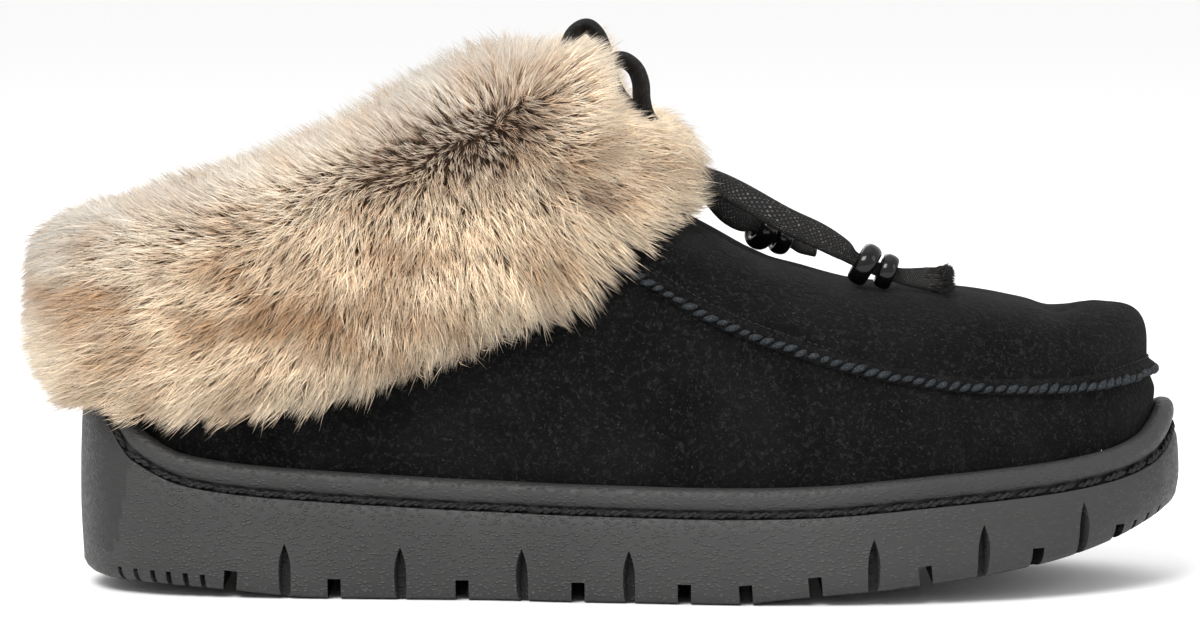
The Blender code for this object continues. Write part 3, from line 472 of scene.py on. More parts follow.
def tread_height(x):
    along = x / SOLE_LENGTH
    return HEEL_SPRING * side_value("heel_spring", along) + TOE_SPRING * side_value("toe_spring", along)


def bead_top(x):
    along = x / SOLE_LENGTH
    return (
        SIDE_HEIGHT
        + (HEEL_CUP_HEIGHT - SIDE_HEIGHT) * side_value("to_cup", along)
        + (TOE_BUMPER_HEIGHT - SIDE_HEIGHT) * side_value("to_bumper", along)
    )


def cup_floor(x):
    along = x / SOLE_LENGTH
    return (
        FOOTBED_BALL
        + (FOOTBED_HEEL - FOOTBED_BALL) * side_value("bed_heel", along)
        + (FOOTBED_TOE - FOOTBED_BALL) * side_value("bed_toe", along)
    )


def seam_height(x):
    climb = table_curve(SEAM_LINE, SEAM_LINE_COLUMNS, "climb", x / SOLE_LENGTH)
    return SEAM_TOE_HEIGHT + (THROAT_HEIGHT - SEAM_TOE_HEIGHT) * climb


def crown_point(place, side):
    """A point of the collar's edge or, ahead of the throat, of the apron's ridge."""
    if place < THROAT_PLACE:
        along, across = collar_value("along", place), collar_value("across", place)
        height = (
            BACK_HEIGHT
            + (PEAK_HEIGHT - BACK_HEIGHT) * collar_value("climb", place)
            + (THROAT_HEIGHT - PEAK_HEIGHT) * collar_value("sink", place)
        )
    else:
        along, across = table_curve(RIDGE, RIDGE_COLUMNS, "along", place), 0.0
        rise = table_curve(APRON, APRON_COLUMNS, "rise", along)
        height = TOE_BOX_HEIGHT + (THROAT_HEIGHT - TOE_BOX_HEIGHT) * rise
    shift = middle_line(along) * min(max((place - 0.5) / 0.2, 0), 1)
    return Vector((SOLE_LENGTH * along, side * BALL_WIDTH * across + shift, height))


# The lace: points listed in millimetres from the sole's back end, then how far the strap
# is turned up from lying flat across the shoe, in degrees, and its size, smaller inside the beads
KNOT_CENTRE = (148.6, 0.0, 102.8)
OUTER_END = (
    (152.8, -1.9, 101.0, 60, 0.75),
    (157.0, -4.4, 99.1, 66, 0.95),
    (163.0, -8.2, 96.2, 72, 1.0),
    (173.1, -12.0, 90.7, 78, 1.0),
    (181.3, -13.6, 86.9, 80, 1.0),
    (187.2, -14.4, 83.6, 80, 0.84),
    (190.2, -14.6, 81.3, 80, 0.56),
    (195.4, -14.8, 78.9, 80, 0.54),
    (200.4, -14.8, 77.3, 80, 0.58),
    (203.4, -14.8, 76.7, 76, 0.70),
    (206.6, -14.8, 76.4, 70, 0.84),
    (209.8, -14.9, 76.1, 64, 0.98),
    (212.0, -15.0, 76.0, 62, 0.86),
    (213.0, -15.0, 76.0, 62, 0.45),
)
INNER_END = (
    (152.2, 2.5, 100.1, 62, 0.75),
    (155.4, 4.6, 96.6, 68, 0.95),
    (160.0, 8.2, 91.4, 74, 1.0),
    (163.6, 10.9, 88.6, 76, 0.84),
    (166.2, 12.6, 87.6, 76, 0.56),
    (171.0, 15.0, 85.0, 76, 0.54),
    (175.6, 16.4, 83.5, 76, 0.58),
    (178.2, 17.2, 82.9, 72, 0.90),
    (182.0, 18.4, 82.3, 66, 1.05),
)
OUTER_LOOP = (
    (147.6, -2.4, 106.9, 40, 0.62),
    (143.6, -4.5, 111.0, 36, 0.85),
    (139.8, -6.4, 115.3, 34, 0.97),
    (138.5, -7.2, 119.5, 32, 1.0),
    (138.2, -7.4, 123.9, 31, 1.0),
    (136.6, -7.4, 127.6, 30, 1.0),
    (133.2, -7.2, 129.5, 31, 1.0),
    (129.4, -6.8, 127.4, 32, 1.0),
    (128.0, -6.4, 122.4, 33, 1.0),
    (131.0, -5.6, 115.6, 34, 1.0),
    (138.2, -4.2, 109.0, 38, 0.9),
    (144.6, -2.5, 104.3, 44, 0.62),
)
INNER_LOOP = (
    (148.3, 2.5, 106.9, 40, 0.62),
    (143.6, 4.2, 111.0, 36, 0.85),
    (137.4, 5.4, 115.4, 34, 0.95),
    (132.8, 7.0, 120.0, 32, 1.0),
    (130.4, 8.6, 125.6, 30, 1.0),
    (129.2, 9.4, 131.0, 28, 1.0),
    (127.4, 9.8, 135.2, 26, 1.0),
    (124.8, 9.8, 137.0, 26, 1.0),
    (121.6, 9.6, 135.0, 26, 1.0),
    (119.8, 8.8, 130.0, 26, 1.0),
    (121.0, 7.4, 124.0, 26, 1.0),
    (125.4, 5.6, 118.0, 28, 1.0),
    (132.0, 4.4, 112.4, 30, 0.95),
    (138.8, 3.4, 107.6, 34, 0.85),
    (144.6, 2.5, 104.2, 40, 0.62),
)
BEADS = (
    ("bead_outer_large", (192.9, -14.7, 79.8), (5.2, -0.2, -3.1), BEAD_LARGE, 4.8 * MM),
    ("bead_outer_small", (198.2, -14.8, 78.1), (4.9, 0.0, -2.0), BEAD_SMALL, 4.0 * MM),
    ("bead_inner_large", (168.6, 13.9, 86.4), (4.6, 2.2, -2.4), BEAD_LARGE, 4.8 * MM),
    ("bead_inner_small", (173.4, 15.7, 84.2), (4.7, 1.6, -1.5), BEAD_SMALL, 4.0 * MM),
)


def spline(a, b, c, d, t):
    """A value between b and c, on a smooth curve that also heeds a before and d after them."""
    square, cube = 2 * a - 5 * b + 4 * c - d, 3 * b - a - 3 * c + d
    return 0.5 * (2 * b + (c - a) * t + square * t * t + cube * t ** 3)


def smooth_route(rows, per_span):
    """Points on a smooth curve through the route's own points, with turn and size carried along."""
    made = []
    for k in range(len(rows) - 1):
        quad = [rows[max(k - 1, 0)], rows[k], rows[k + 1], rows[min(k + 2, len(rows) - 1)]]
        for step in range(per_span):
            made.append([spline(*values, step / per_span) for values in zip(*quad)])
    made.append(list(rows[-1]))
    return made


SHIFT = Vector((-ORIGIN_SHARE * SOLE_LENGTH, 0, 0))
TURNS = 384  # stations round the outline
WELD = 0.001 * MM  # points closer than this become one


def placed(point):
    """A point drawn from the sole's back end, where it stands on the floor."""
    return Vector(point) + SHIFT


# ---------------------------------------------------------------- camera, light and floor


# Each light's name, place, aim, size and power, in metres and watts
LIGHTS = (
    ("key", (-0.5, -1.2, 1.3), (0, 0, 0.05), (0.9, 0.7), 30),
    ("top", (0.1, 0.1, 1.5), (0, 0, 0), (1.2, 0.9), 1.5),
    ("side", (1.3, -0.7, 0.7), (0.05, 0, 0.05), (0.5, 0.8), 3),
    ("back", (-0.3, 1.3, 0.9), (0, 0, 0.05), (1.0, 0.6), 4),
)
WORLD_LIGHT = 0.98
FLOOR_WHITE = (0.95, 0.95, 0.95, 1)

CAMERA_DISTANCE = 1.5
CAMERA_RAISED = math.radians(5)
CAMERA_AIM = (-0.000134, 0, 0.0666)
SENSOR_WIDTH = 36
PICTURE_WIDTH = 0.29616  # metres that the picture spans at the shoe


def set_camera():
    data = bpy.data.cameras.new("camera")
    data.sensor_width = SENSOR_WIDTH
    data.lens = SENSOR_WIDTH * CAMERA_DISTANCE / PICTURE_WIDTH
    data.clip_end = 20
    camera = bpy.data.objects.new("camera", data)
    bpy.context.scene.collection.objects.link(camera)
    back = Vector((0, -math.cos(CAMERA_RAISED), math.sin(CAMERA_RAISED)))
    camera.location = Vector(CAMERA_AIM) + CAMERA_DISTANCE * back
    camera.rotation_euler = (math.radians(90) - CAMERA_RAISED, 0, 0)
    bpy.context.scene.camera = camera


def soft_light(name, place, aim, size, power):
    data = bpy.data.lights.new(name, "AREA")
    data.shape = "RECTANGLE"
    data.size, data.size_y = size
    data.energy = power
    light = bpy.data.objects.new(name, data)
    bpy.context.scene.collection.objects.link(light)
    light.location = place
    light.rotation_euler = (Vector(aim) - Vector(place)).to_track_quat("-Z", "Y").to_euler()


def set_studio():
    scene = bpy.context.scene
    scene.view_settings.view_transform = "Standard"
    scene.view_settings.look = "None"
    world = bpy.data.worlds.new("studio")
    world.use_nodes = True
    world.node_tree.nodes["Background"].inputs["Color"].default_value = (1, 1, 1, 1)
    world.node_tree.nodes["Background"].inputs["Strength"].default_value = WORLD_LIGHT
    scene.world = world
    for light in LIGHTS:
        soft_light(*light)
    bm = bmesh.new()
    bmesh.ops.create_grid(bm, x_segments=1, y_segments=1, size=8)
    floor = plain_object("floor", bm)
    finish = Finish("floor_white")
    finish.set(**{"Base Color": FLOOR_WHITE, "Roughness": 0.8, "Specular IOR Level": 0.05})
    finish.bump(finish.noise(220, 2), 0.4 * MM, 0.05)
    floor.data.materials.append(finish.material)
    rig.stage(floor)


# ---------------------------------------------------------------- making meshes


def plain_object(name, bm):
    mesh = bpy.data.meshes.new(name)
    bm.to_mesh(mesh)
    bm.free()
    obj = bpy.data.objects.new(name, mesh)
    bpy.context.scene.collection.objects.link(obj)
    return obj


def skin(rows, uv_size=None):
    """A surface through rows of points, welded where rows or columns meet, where the shoe stands."""
    bm = bmesh.new()
    layer = bm.loops.layers.uv.new("UVMap")
    bmesh.ops.create_grid(
        bm, x_segments=len(rows[0]) - 1, y_segments=len(rows) - 1, size=0.5, calc_uvs=True
    )
    bm.verts.ensure_lookup_table()
    for vert, point in zip(bm.verts, (point for row in rows for point in row)):
        vert.co = placed(point)
    if uv_size:
        for face in bm.faces:
            for loop in face.loops:
                u, v = loop[layer].uv
                loop[layer].uv = (u * uv_size[0], v * uv_size[1])
    bmesh.ops.remove_doubles(bm, verts=bm.verts, dist=WELD)
    bmesh.ops.recalc_face_normals(bm, faces=bm.faces)
    return bm


def smooth(obj, angle=40):
    obj.data.shade_smooth()
    obj.data.set_sharp_from_angle(angle=math.radians(angle))
    return obj


def settled(obj):
    """The object with its modifiers' work made its own mesh."""
    graph = bpy.context.evaluated_depsgraph_get()
    mesh = bpy.data.meshes.new_from_object(obj.evaluated_get(graph), depsgraph=graph)
    obj.modifiers.clear()
    old, obj.data = obj.data, mesh
    bpy.data.meshes.remove(old)
    mesh.name = obj.name
    return obj


def repeated(name, unit, frames):
    """One mesh of many copies of a small closed unit, one for each matrix."""
    bm = bmesh.new()
    for matrix in frames:
        before = len(bm.verts)
        bm.from_mesh(unit)
        bm.verts.ensure_lookup_table()
        bmesh.ops.transform(bm, matrix=matrix, verts=bm.verts[before:])
    return plain_object(name, bm)


def closed_unit(name, rows):
    """A small closed tube through rings of points, as a mesh round its own origin."""
    bm = skin(rows)
    bmesh.ops.translate(bm, vec=-SHIFT, verts=bm.verts)
    bmesh.ops.holes_fill(bm, edges=bm.edges, sides=UNIT_SIDES + 2)
    bmesh.ops.recalc_face_normals(bm, faces=bm.faces)
    mesh = bpy.data.meshes.new(name)
    bm.to_mesh(mesh)
    bm.free()
    return mesh


def ring_angles(sides):
    """The angles of a closed ring, its first one said again at the end."""
    return [2 * math.pi * j / sides for j in range(sides + 1)]


UNIT_SIDES = 6


def axes(origin, x, y, z):
    """The matrix that carries a unit drawn along X to an origin and three directions."""
    return Matrix((
        (x.x, y.x, z.x, origin.x), (x.y, y.y, z.y, origin.y), (x.z, y.z, z.z, origin.z), (0, 0, 0, 1)
    ))


def wear(obj, finish, slot, *nodes):
    """The finish, the body it rides on, the slot it belongs to and the solids it stands for."""
    obj.data.materials.clear()
    obj.data.materials.append(finish)
    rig.ride(obj, "root")
    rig.slot(obj, slot)
    if nodes:
        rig.replaces(obj, *nodes)
    return obj


# ---------------------------------------------------------------- finishes


class Finish:
    """A material built up from its shader, on the object's own coordinates in metres."""

    def __init__(self, name):
        self.material = bpy.data.materials.new(name)
        self.material.use_nodes = True
        self.tree = self.material.node_tree
        self.shader = self.tree.nodes["Principled BSDF"]
        self.coordinates = self.tree.nodes.new("ShaderNodeTexCoord")
        self.normal = None

    def set(self, **values):
        for name, value in values.items():
            self.shader.inputs[name].default_value = value

    def join(self, value, socket):
        if isinstance(value, bpy.types.NodeSocket):
            self.tree.links.new(value, socket)
        else:
            socket.default_value = value

    def mapped(self, scale=(1, 1, 1), turn=(0, 0, 0), source="Object"):
        node = self.tree.nodes.new("ShaderNodeMapping")
        node.inputs["Scale"].default_value = scale
        node.inputs["Rotation"].default_value = [math.radians(a) for a in turn]
        self.join(self.coordinates.outputs[source], node.inputs["Vector"])
        return node.outputs["Vector"]

    def noise(self, scale, detail=3, rough=0.55, vector=None, distortion=0.0):
        node = self.tree.nodes.new("ShaderNodeTexNoise")
        node.inputs["Scale"].default_value = scale
        node.inputs["Detail"].default_value = detail
        node.inputs["Roughness"].default_value = rough
        node.inputs["Distortion"].default_value = distortion
        self.join(vector or self.coordinates.outputs["Object"], node.inputs["Vector"])
        return node.outputs["Fac"]

    def cells(self, scale, vector=None):
        node = self.tree.nodes.new("ShaderNodeTexVoronoi")
        node.inputs["Scale"].default_value = scale
        self.join(vector or self.coordinates.outputs["Object"], node.inputs["Vector"])
        return node.outputs["Distance"]

    def waves(self, scale, vector):
        node = self.tree.nodes.new("ShaderNodeTexWave")
        node.inputs["Scale"].default_value = scale
        self.join(vector, node.inputs["Vector"])
        return node.outputs["Fac"]

    def value_of(self, name):
        node = self.tree.nodes.new("ShaderNodeAttribute")
        node.attribute_name = name
        return node.outputs["Fac"]

    def part(self, axis):
        node = self.tree.nodes.new("ShaderNodeSeparateXYZ")
        self.join(self.coordinates.outputs["Object"], node.inputs[0])
        return node.outputs[axis]

    def ranged(self, value, low, high, to_low=0.0, to_high=1.0):
        node = self.tree.nodes.new("ShaderNodeMapRange")
        node.interpolation_type = "SMOOTHSTEP"
        node.inputs["From Min"].default_value, node.inputs["From Max"].default_value = low, high
        node.inputs["To Min"].default_value, node.inputs["To Max"].default_value = to_low, to_high
        self.join(value, node.inputs["Value"])
        return node.outputs["Result"]

    def maths(self, operation, a, b):
        node = self.tree.nodes.new("ShaderNodeMath")
        node.operation = operation
        self.join(a, node.inputs[0])
        self.join(b, node.inputs[1])
        return node.outputs[0]

    def mix(self, share, a, b):
        node = self.tree.nodes.new("ShaderNodeMix")
        node.data_type = "RGBA"
        self.join(share, node.inputs[0])
        self.join(a, node.inputs[6])
        self.join(b, node.inputs[7])
        return node.outputs[2]

    def bump(self, height, distance, strength=1.0):
        node = self.tree.nodes.new("ShaderNodeBump")
        node.inputs["Strength"].default_value = strength
        node.inputs["Distance"].default_value = distance
        self.join(height, node.inputs["Height"])
        if self.normal:
            self.join(self.normal, node.inputs["Normal"])
        self.normal = node.outputs["Normal"]
        self.join(self.normal, self.shader.inputs["Normal"])

    def colour(self, value):
        self.join(value, self.shader.inputs["Base Color"])

    def roughness(self, value):
        self.join(value, self.shader.inputs["Roughness"])


def grey(value, warm=0.0):
    return (value * (1 + warm), value, value * (1 - warm), 1)


def rubber(name, tone, dash, toe_fade_and_shade=True):
    """Moulded rubber with a pebbled grain of short slanting dashes, fading towards the toe, where painted shade also
    darkens it.
    """
    made = Finish(name)
    slanted = made.mapped(scale=(1, 1, 2.1), turn=(0, -38, 0))
    grain = made.ranged(made.cells(620, slanted), 0.12, 0.5, 1, 0)
    fine = made.noise(1500, 3, 0.6)
    lumps = made.noise(380, 2, 0.5, slanted)
    show = made.ranged(made.part("X"), -0.02, 0.11, 1.0, 0.30) if toe_fade_and_shade else 0.35
    # painted shade: the side grows darker towards the raised toe
    shade = made.ranged(made.part("X"), 0.04, 0.14, 0.0, 0.40) if toe_fade_and_shade else 0.0
    marks = made.maths("MULTIPLY", made.ranged(lumps, 0.28, 0.50), grain)
    marks = made.maths("MULTIPLY", marks, show)
    broad = made.noise(26, 3, 0.5)
    base = made.mix(made.ranged(broad, 0.3, 0.7), grey(tone * 0.80, 0.01), grey(tone, 0.01))
    base = made.mix(shade, base, grey(tone * 0.45, 0.03))
    base = made.mix(made.maths("MULTIPLY", marks, dash), base, grey(tone * 1.9, 0.02))
    base = made.mix(made.ranged(fine, 0.62, 0.8, 0, 0.25), base, grey(tone * 2.2, 0.02))
    made.colour(base)
    made.roughness(made.ranged(lumps, 0.3, 0.7, 0.60, 0.46))
    made.set(**{"Specular IOR Level": 0.30})
    made.bump(made.maths("ADD", marks, made.maths("MULTIPLY", fine, 0.35)), 0.45 * MM)
    return made.material


def suede():
    """Brushed suede: a fine nap with paler fibre ends, their brightest flecks partly painted highlights, a little
    clouded where it has been stroked.
    """
    made = Finish("black_suede")
    nap = made.noise(1500, 4, 0.7)
    fibre = made.noise(760, 3, 0.65, distortion=0.8)
    cloud = made.noise(45, 4, 0.6)
    base = made.mix(made.ranged(cloud, 0.32, 0.68), grey(0.0020, 0.02), grey(0.0052, 0.02))
    base = made.mix(made.ranged(fibre, 0.50, 0.70, 0, 0.75), base, grey(0.017, 0.01))
    # paler fibre ends, partly painted highlights caught on the nap
    base = made.mix(made.ranged(nap, 0.60, 0.72, 0, 0.7), base, grey(0.060, 0.0))
    made.colour(base)
    made.set(**{"Roughness": 0.95, "Specular IOR Level": 0.08, "Sheen Weight": 0.02, "Sheen Roughness": 0.4})
    made.bump(made.maths("ADD", nap, made.maths("MULTIPLY", fibre, 1.4)), 0.4 * MM)
    return made.material


def fleece(name, tone):
    """Curled fleece: a pale tone with painted shade in the hollows between its tufts."""
    made = Finish(name)
    curls = made.noise(520, 4, 0.6, distortion=0.6)
    tufts = made.cells(260)
    # painted shade: the tone falls to under half where the curls sink
    base = made.mix(made.ranged(curls, 0.35, 0.7), (*[c * 0.45 for c in tone], 1), (*tone, 1))
    made.colour(base)
    made.set(**{"Roughness": 0.95, "Specular IOR Level": 0.2, "Sheen Weight": 0.3})
    made.bump(made.maths("SUBTRACT", curls, tufts), 1.2 * MM, 0.9)
    return made.material


def woven_lace():
    """A waxed flat weave: rows of slanting cells along the strap, in the strap's own millimetres, with painted shade
    between the threads and painted highlights in small spots on them.
    """
    made = Finish("waxed_lace")
    slants = [made.waves(0.64, made.mapped(turn=(0, 0, angle), source="UV")) for angle in (33, -33)]
    threads = made.ranged(made.maths("MULTIPLY", *slants), 0.10, 0.55)
    fuzz = made.noise(2600, 3, 0.6)
    spots = made.noise(1.3, 2, 0.6, made.mapped(source="UV"))
    # painted shade: darker where the threads sink
    base = made.mix(threads, grey(0.002), (0.0085, 0.0072, 0.0064, 1))
    # painted highlights: small light spots on the raised threads
    shine = made.maths("MULTIPLY", made.ranged(spots, 0.48, 0.64), made.ranged(fuzz, 0.4, 0.62))
    base = made.mix(made.maths("MULTIPLY", shine, threads), base, (0.16, 0.14, 0.125, 1))
    made.colour(base)
    made.roughness(made.ranged(threads, 0, 1, 0.8, 0.46))
    made.set(**{"Specular IOR Level": 0.32})
    made.bump(made.maths("ADD", threads, made.maths("MULTIPLY", fuzz, 0.3)), 0.3 * MM)
    return made.material


def thread(name, tone, light):
    """Waxed thread with a fine fibre along it."""
    made = Finish(name)
    fibre = made.noise(2400, 4, 0.65)
    lumps = made.noise(600, 2, 0.5)
    base = made.mix(made.ranged(fibre, 0.42, 0.72), tone, light)
    made.colour(base)
    made.roughness(made.ranged(lumps, 0.3, 0.7, 0.75, 0.5))
    made.set(**{"Specular IOR Level": 0.25})
    made.bump(fibre, 0.3 * MM, 0.8)
    return made.material


def polished():
    """Near-black polish with fine scuffs."""
    made = Finish("polished_bead")
    scuffs = made.noise(900, 4, 0.6)
    made.colour(made.mix(made.ranged(scuffs, 0.55, 0.75), grey(0.002), grey(0.006)))
    made.roughness(made.ranged(scuffs, 0.4, 0.75, 0.12, 0.24))
    made.set(**{"Specular IOR Level": 0.30})
    made.bump(made.noise(340, 2, 0.5), 0.3 * MM, 0.25)
    return made.material


ROOT_AND_SHADE_TONE = (0.27, 0.170, 0.110, 1)
HAIR_LEAST_TONE = 0.62  # how light the darkest hairs are, as a share of their finish


def hair(name, root, mid, tip_low, tip_high, brown):
    """Fur: dark at the root and pale at the tip, golden low down and greyer on top, darker in patches where the roots
    show and painted shade lies in the parted fur.
    """
    made = Finish(name)
    along, tone, patch, root_and_shade_share, pale = (
        made.value_of(value) for value in ("along", "tone", "patch", "root_and_shade_share", "pale")
    )
    tip = made.mix(pale, tip_low, tip_high)
    body = made.mix(made.ranged(along, 0.20, 0.70), mid, tip)
    body = made.mix(made.maths("MULTIPLY", patch, 0.9), body, brown)
    # the darker roots that show in the parted fur, with painted shade there
    root_and_shade = made.maths("MULTIPLY", root_and_shade_share, made.ranged(along, 0.5, 1.0, 1.0, 0.30))
    body = made.mix(root_and_shade, body, ROOT_AND_SHADE_TONE)
    full = made.mix(made.ranged(along, 0.0, 0.28), root, body)
    node = made.tree.nodes.new("ShaderNodeVectorMath")
    node.operation = "SCALE"
    made.join(full, node.inputs[0])
    made.join(made.maths("ADD", tone, HAIR_LEAST_TONE), node.inputs["Scale"])
    made.colour(node.outputs[0])
    made.set(**{"Roughness": 0.55, "Specular IOR Level": 0.35, "Sheen Weight": 0.15})
    return made.material


# ---------------------------------------------------------------- the sole


BEAD_SECTION = (  # inset in millimetres and share of the bead's height, from groove to cup
    (2.15, 0.97), (1.65, 0.86), (1.36, 0.68), (1.30, 0.50), (1.42, 0.32), (1.80, 0.17), (2.45, 0.06),
    (3.30, 0.01), (4.20, 0.00), (5.20, 0.06), (5.90, 0.15), (CUP_WALL / MM, 0.25),
)
TREAD_SECTION = ((5.0, 0.0), (3.5, 0.12), (2.3, 0.6), (1.35, 1.5))  # inset and rise, in millimetres
SIDE_ROWS = 10
WALL_TOP_ROW = len(TREAD_SECTION) + SIDE_ROWS  # the rows of the section that bound the groove
BEAD_LOW_ROW = WALL_TOP_ROW + 3


def sole_profile(x):
    """The sole's section from the tread over the bead to the cup's floor: insets and heights."""
    low, top = tread_height(x), bead_top(x)
    step = 1.5 * MM
    climb = abs(bead_top(x + step) - bead_top(x - step)) / (2 * step)
    stretch = min(math.sqrt(1 + (0.5 * climb) ** 2), 1.35)
    bead, groove = BEAD_HEIGHT * stretch, GROOVE_HEIGHT * stretch
    wall_top = top - bead - groove
    middle = low + 0.42 * (wall_top - low)
    rows = [(inset, low + rise * MM) for inset, rise in TREAD_SECTION]
    side = ((low + 2.8 * MM, 0.7), (middle, 0.0), (wall_top - 0.5 * MM, 0.75), (wall_top, 1.2))
    for k in range(SIDE_ROWS + 1):
        height = side[0][0] + (side[-1][0] - side[0][0]) * (k / SIDE_ROWS) ** 0.9
        rows.append((table_curve(side, ("height", "inset"), "inset", height), height))
    deep = 0.9 + GROOVE_DEPTH / MM
    rows += [(deep - 0.5, wall_top + 0.12 * MM), (deep, wall_top + 0.45 * MM), (deep, wall_top + groove)]
    for inset, share in BEAD_SECTION:
        rows.append((inset, top - share * bead))
    floor = cup_floor(x)
    edge = top - 0.25 * bead
    rows += [(CUP_WALL / MM, edge - (edge - floor) * share) for share in (0.1, 0.4, 0.7, 1.0)]
    return [(inset * MM, height) for inset, height in rows]


def drawn_in(ring, height, shares):
    """Rows from a ring in to a line down the sole's middle."""
    rows = []
    for share in shares:
        row = []
        for i, point in enumerate(ring):
            other = ring[-1 - i]
            x = min(max((point.x + other.x) / 2, 0.10 * SOLE_LENGTH), 0.90 * SOLE_LENGTH)
            spine = Vector((x, middle_line(x / SOLE_LENGTH), 0))
            place = point.lerp(spine, share)
            place.z = height(place.x)
            row.append(place)
        rows.append(row)
    return rows


def dress_sole():
    """The moulded sole with its cuts, in four finishes, one of them painted shade in the groove and cuts, and the
    stitches in its groove.
    """
    columns = []
    for i in range(TURNS + 1):
        turn = 2 * (i % TURNS) / TURNS
        base = outline_point(turn)[0]
        column = []
        for inset, height in sole_profile(base.x):
            point = outline_point(turn, inset)[0]
            point.z = height
            column.append(point)
        columns.append(column)
    rows = [list(row) for row in zip(*columns)]
    under = drawn_in(rows[0], tread_height, (1, 0.8, 0.6, 0.4, 0.2))
    over = drawn_in(rows[-1], cup_floor, (0.2, 0.4, 0.6, 0.8, 1))
    sole = plain_object("moulded_sole", skin(under + rows + over))
    cutter = sole_cuts()
    cut = sole.modifiers.new("cuts", "BOOLEAN")
    cut.operation, cut.object, cut.solver, cut.use_self = "DIFFERENCE", cutter, "EXACT", True
    settled(sole)
    bpy.data.objects.remove(cutter)
    # the groove and the cuts take a far darker rubber: painted shade in these recesses
    for material in (
        rubber("rubber_side", 0.0335, 1.0), rubber("rubber_bead", 0.029, 0.35, False),
        rubber("rubber_groove_painted_shade", 0.006, 0.2, False), rubber("rubber_counter", 0.022, 0.15, False),
    ):
        sole.data.materials.append(material)
    for face in sole.data.polygons:
        face.material_index = sole_zone(face.center - SHIFT)
    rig.ride(sole, "root")
    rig.slot(sole, "sole_rubber")
    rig.replaces(sole, "sole")
    smooth(sole, 35)
    sew_sole()


COUNTER_FRONT = 12 * MM
COUNTER_LOW = 12 * MM
COUNTER_LEAN = 0.18  # how far its front edge leans forward as it rises


def sole_zone(point):
    """Which of the sole's finishes a point of it has: side, bead, groove and cuts in painted shade, or counter."""
    x = min(max(point.x, 0), SOLE_LENGTH)
    profile = sole_profile(x)
    wall_top, bead_low = profile[WALL_TOP_ROW][1], profile[BEAD_LOW_ROW][1]
    side = -1 if point.y < middle_line(x / SOLE_LENGTH) else 1
    outline, outward = outline_point(turn_at(min(max(x / SOLE_LENGTH, 0.0005), 0.9995), side))
    inset = (outline - point).dot(outward) if 0.02 < x / SOLE_LENGTH < 0.98 else 0
    if point.z > bead_low - 0.1 * MM:
        return 1
    # the groove and the deep faces of the cuts, dark as painted shade
    if point.z > wall_top + 0.05 * MM and inset > 1.3 * MM:
        return 2
    if inset > 2.6 * MM and point.z > tread_height(x) + 0.4 * MM:
        return 2
    front = COUNTER_FRONT + COUNTER_LEAN * (point.z - 20 * MM)
    return 3 if x < front and point.z > COUNTER_LOW else 0


def turn_at(along, side):
    """The turn of the outline at a share of the length, on the outer (-1) or inner (1) side."""
    place = math.acos(1 - 2 * along) / math.pi
    return place if side < 0 else 2 - place


def cutting_block(bm, centre, size, turn):
    """A block that cuts, turned about its centre."""
    made = bmesh.ops.create_cube(bm, size=1)["verts"]
    matrix = Matrix.Translation(placed(centre)) @ turn.to_4x4() @ Matrix.Diagonal((*size, 1))
    bmesh.ops.transform(bm, matrix=matrix, verts=made)


def sole_cuts():
    """One cutter for every groove across the tread and every cut in the sole's edge."""
    bm = bmesh.new()
    for along in TREAD_GROOVES:
        x = along * SOLE_LENGTH
        slope = math.atan2(tread_height(x + MM) - tread_height(x - MM), 2 * MM)
        size = (TREAD_GROOVE_WIDTH, 1.4 * BALL_WIDTH, 2 * TREAD_GROOVE_HEIGHT)
        cutting_block(bm, (x, 0, tread_height(x)), size, Matrix.Rotation(-slope, 3, "Y"))
    for side in (-1, 1):
        for along in ROUND_TOPPED_CUTS:
            point, outward = outline_point(turn_at(along, side))
            point.z = tread_height(point.x)
            round_topped(bm, point, outward)
        for along in TOE_GROOVES:
            point, outward = outline_point(turn_at(along, side), 5 * MM)
            point.z = tread_height(point.x)
            turn = Matrix.Rotation(math.atan2(outward.y, outward.x), 3, "Z")
            size = (TOE_GROOVE_DEPTH, TREAD_GROOVE_WIDTH, 2 * TREAD_GROOVE_HEIGHT)
            cutting_block(bm, point, size, turn)
        for along in HEEL_SIPES + TOE_SIPES:
            point, outward = outline_point(turn_at(along, side), 1.5 * MM)
            point.z = tread_height(point.x) + 0.8 * MM
            turn = Matrix.Rotation(math.atan2(outward.y, outward.x), 3, "Z")
            cutting_block(bm, point, (SIPE_DEPTH, SIPE_WIDTH, 2 * SIPE_HEIGHT), turn)
    bmesh.ops.recalc_face_normals(bm, faces=bm.faces)
    return plain_object("sole_cuts", bm)


ARCH_RISE = (0, 0.18, 0.36, 0.54, 0.70, 0.84, 0.94)
ARCH_BACK = (0.45, 0.86)  # its width and height at the closed back, as shares of those in front


def round_topped(bm, centre, outward):
    """A tall cut with a pointed arch, narrower and lower towards its closed back."""
    half, tall = ROUND_TOPPED_WIDTH / 2, ROUND_TOPPED_HEIGHT
    right = [(half * (1 - s ** 2.2), tall * (0.45 + 0.55 * s)) for s in ARCH_RISE] + [(0, tall)]
    arch = [(half, -ROUND_TOPPED_DROP)] + right
    arch += [(-across, up) for across, up in reversed(arch[:-1])]
    side = Vector((-outward.y, outward.x, 0))
    ends = []
    for depth in (-ROUND_TOPPED_DEPTH, ROUND_TOPPED_DEPTH):
        lean, sink = ARCH_BACK if depth < 0 else (1.0, 1.0)
        points = [
            centre + outward * depth + side * across * lean
            + Vector((0, 0, up * (sink if up > 0 else 1)))
            for across, up in arch
        ]
        ends.append([bm.verts.new(placed(point)) for point in points])
    edges = [bm.edges.new((a, b)) for ring in ends for a, b in zip(ring, ring[1:] + ring[:1])]
    bmesh.ops.bridge_loops(bm, edges=edges)
    bmesh.ops.contextual_create(bm, geom=ends[0])
    bmesh.ops.contextual_create(bm, geom=ends[1])


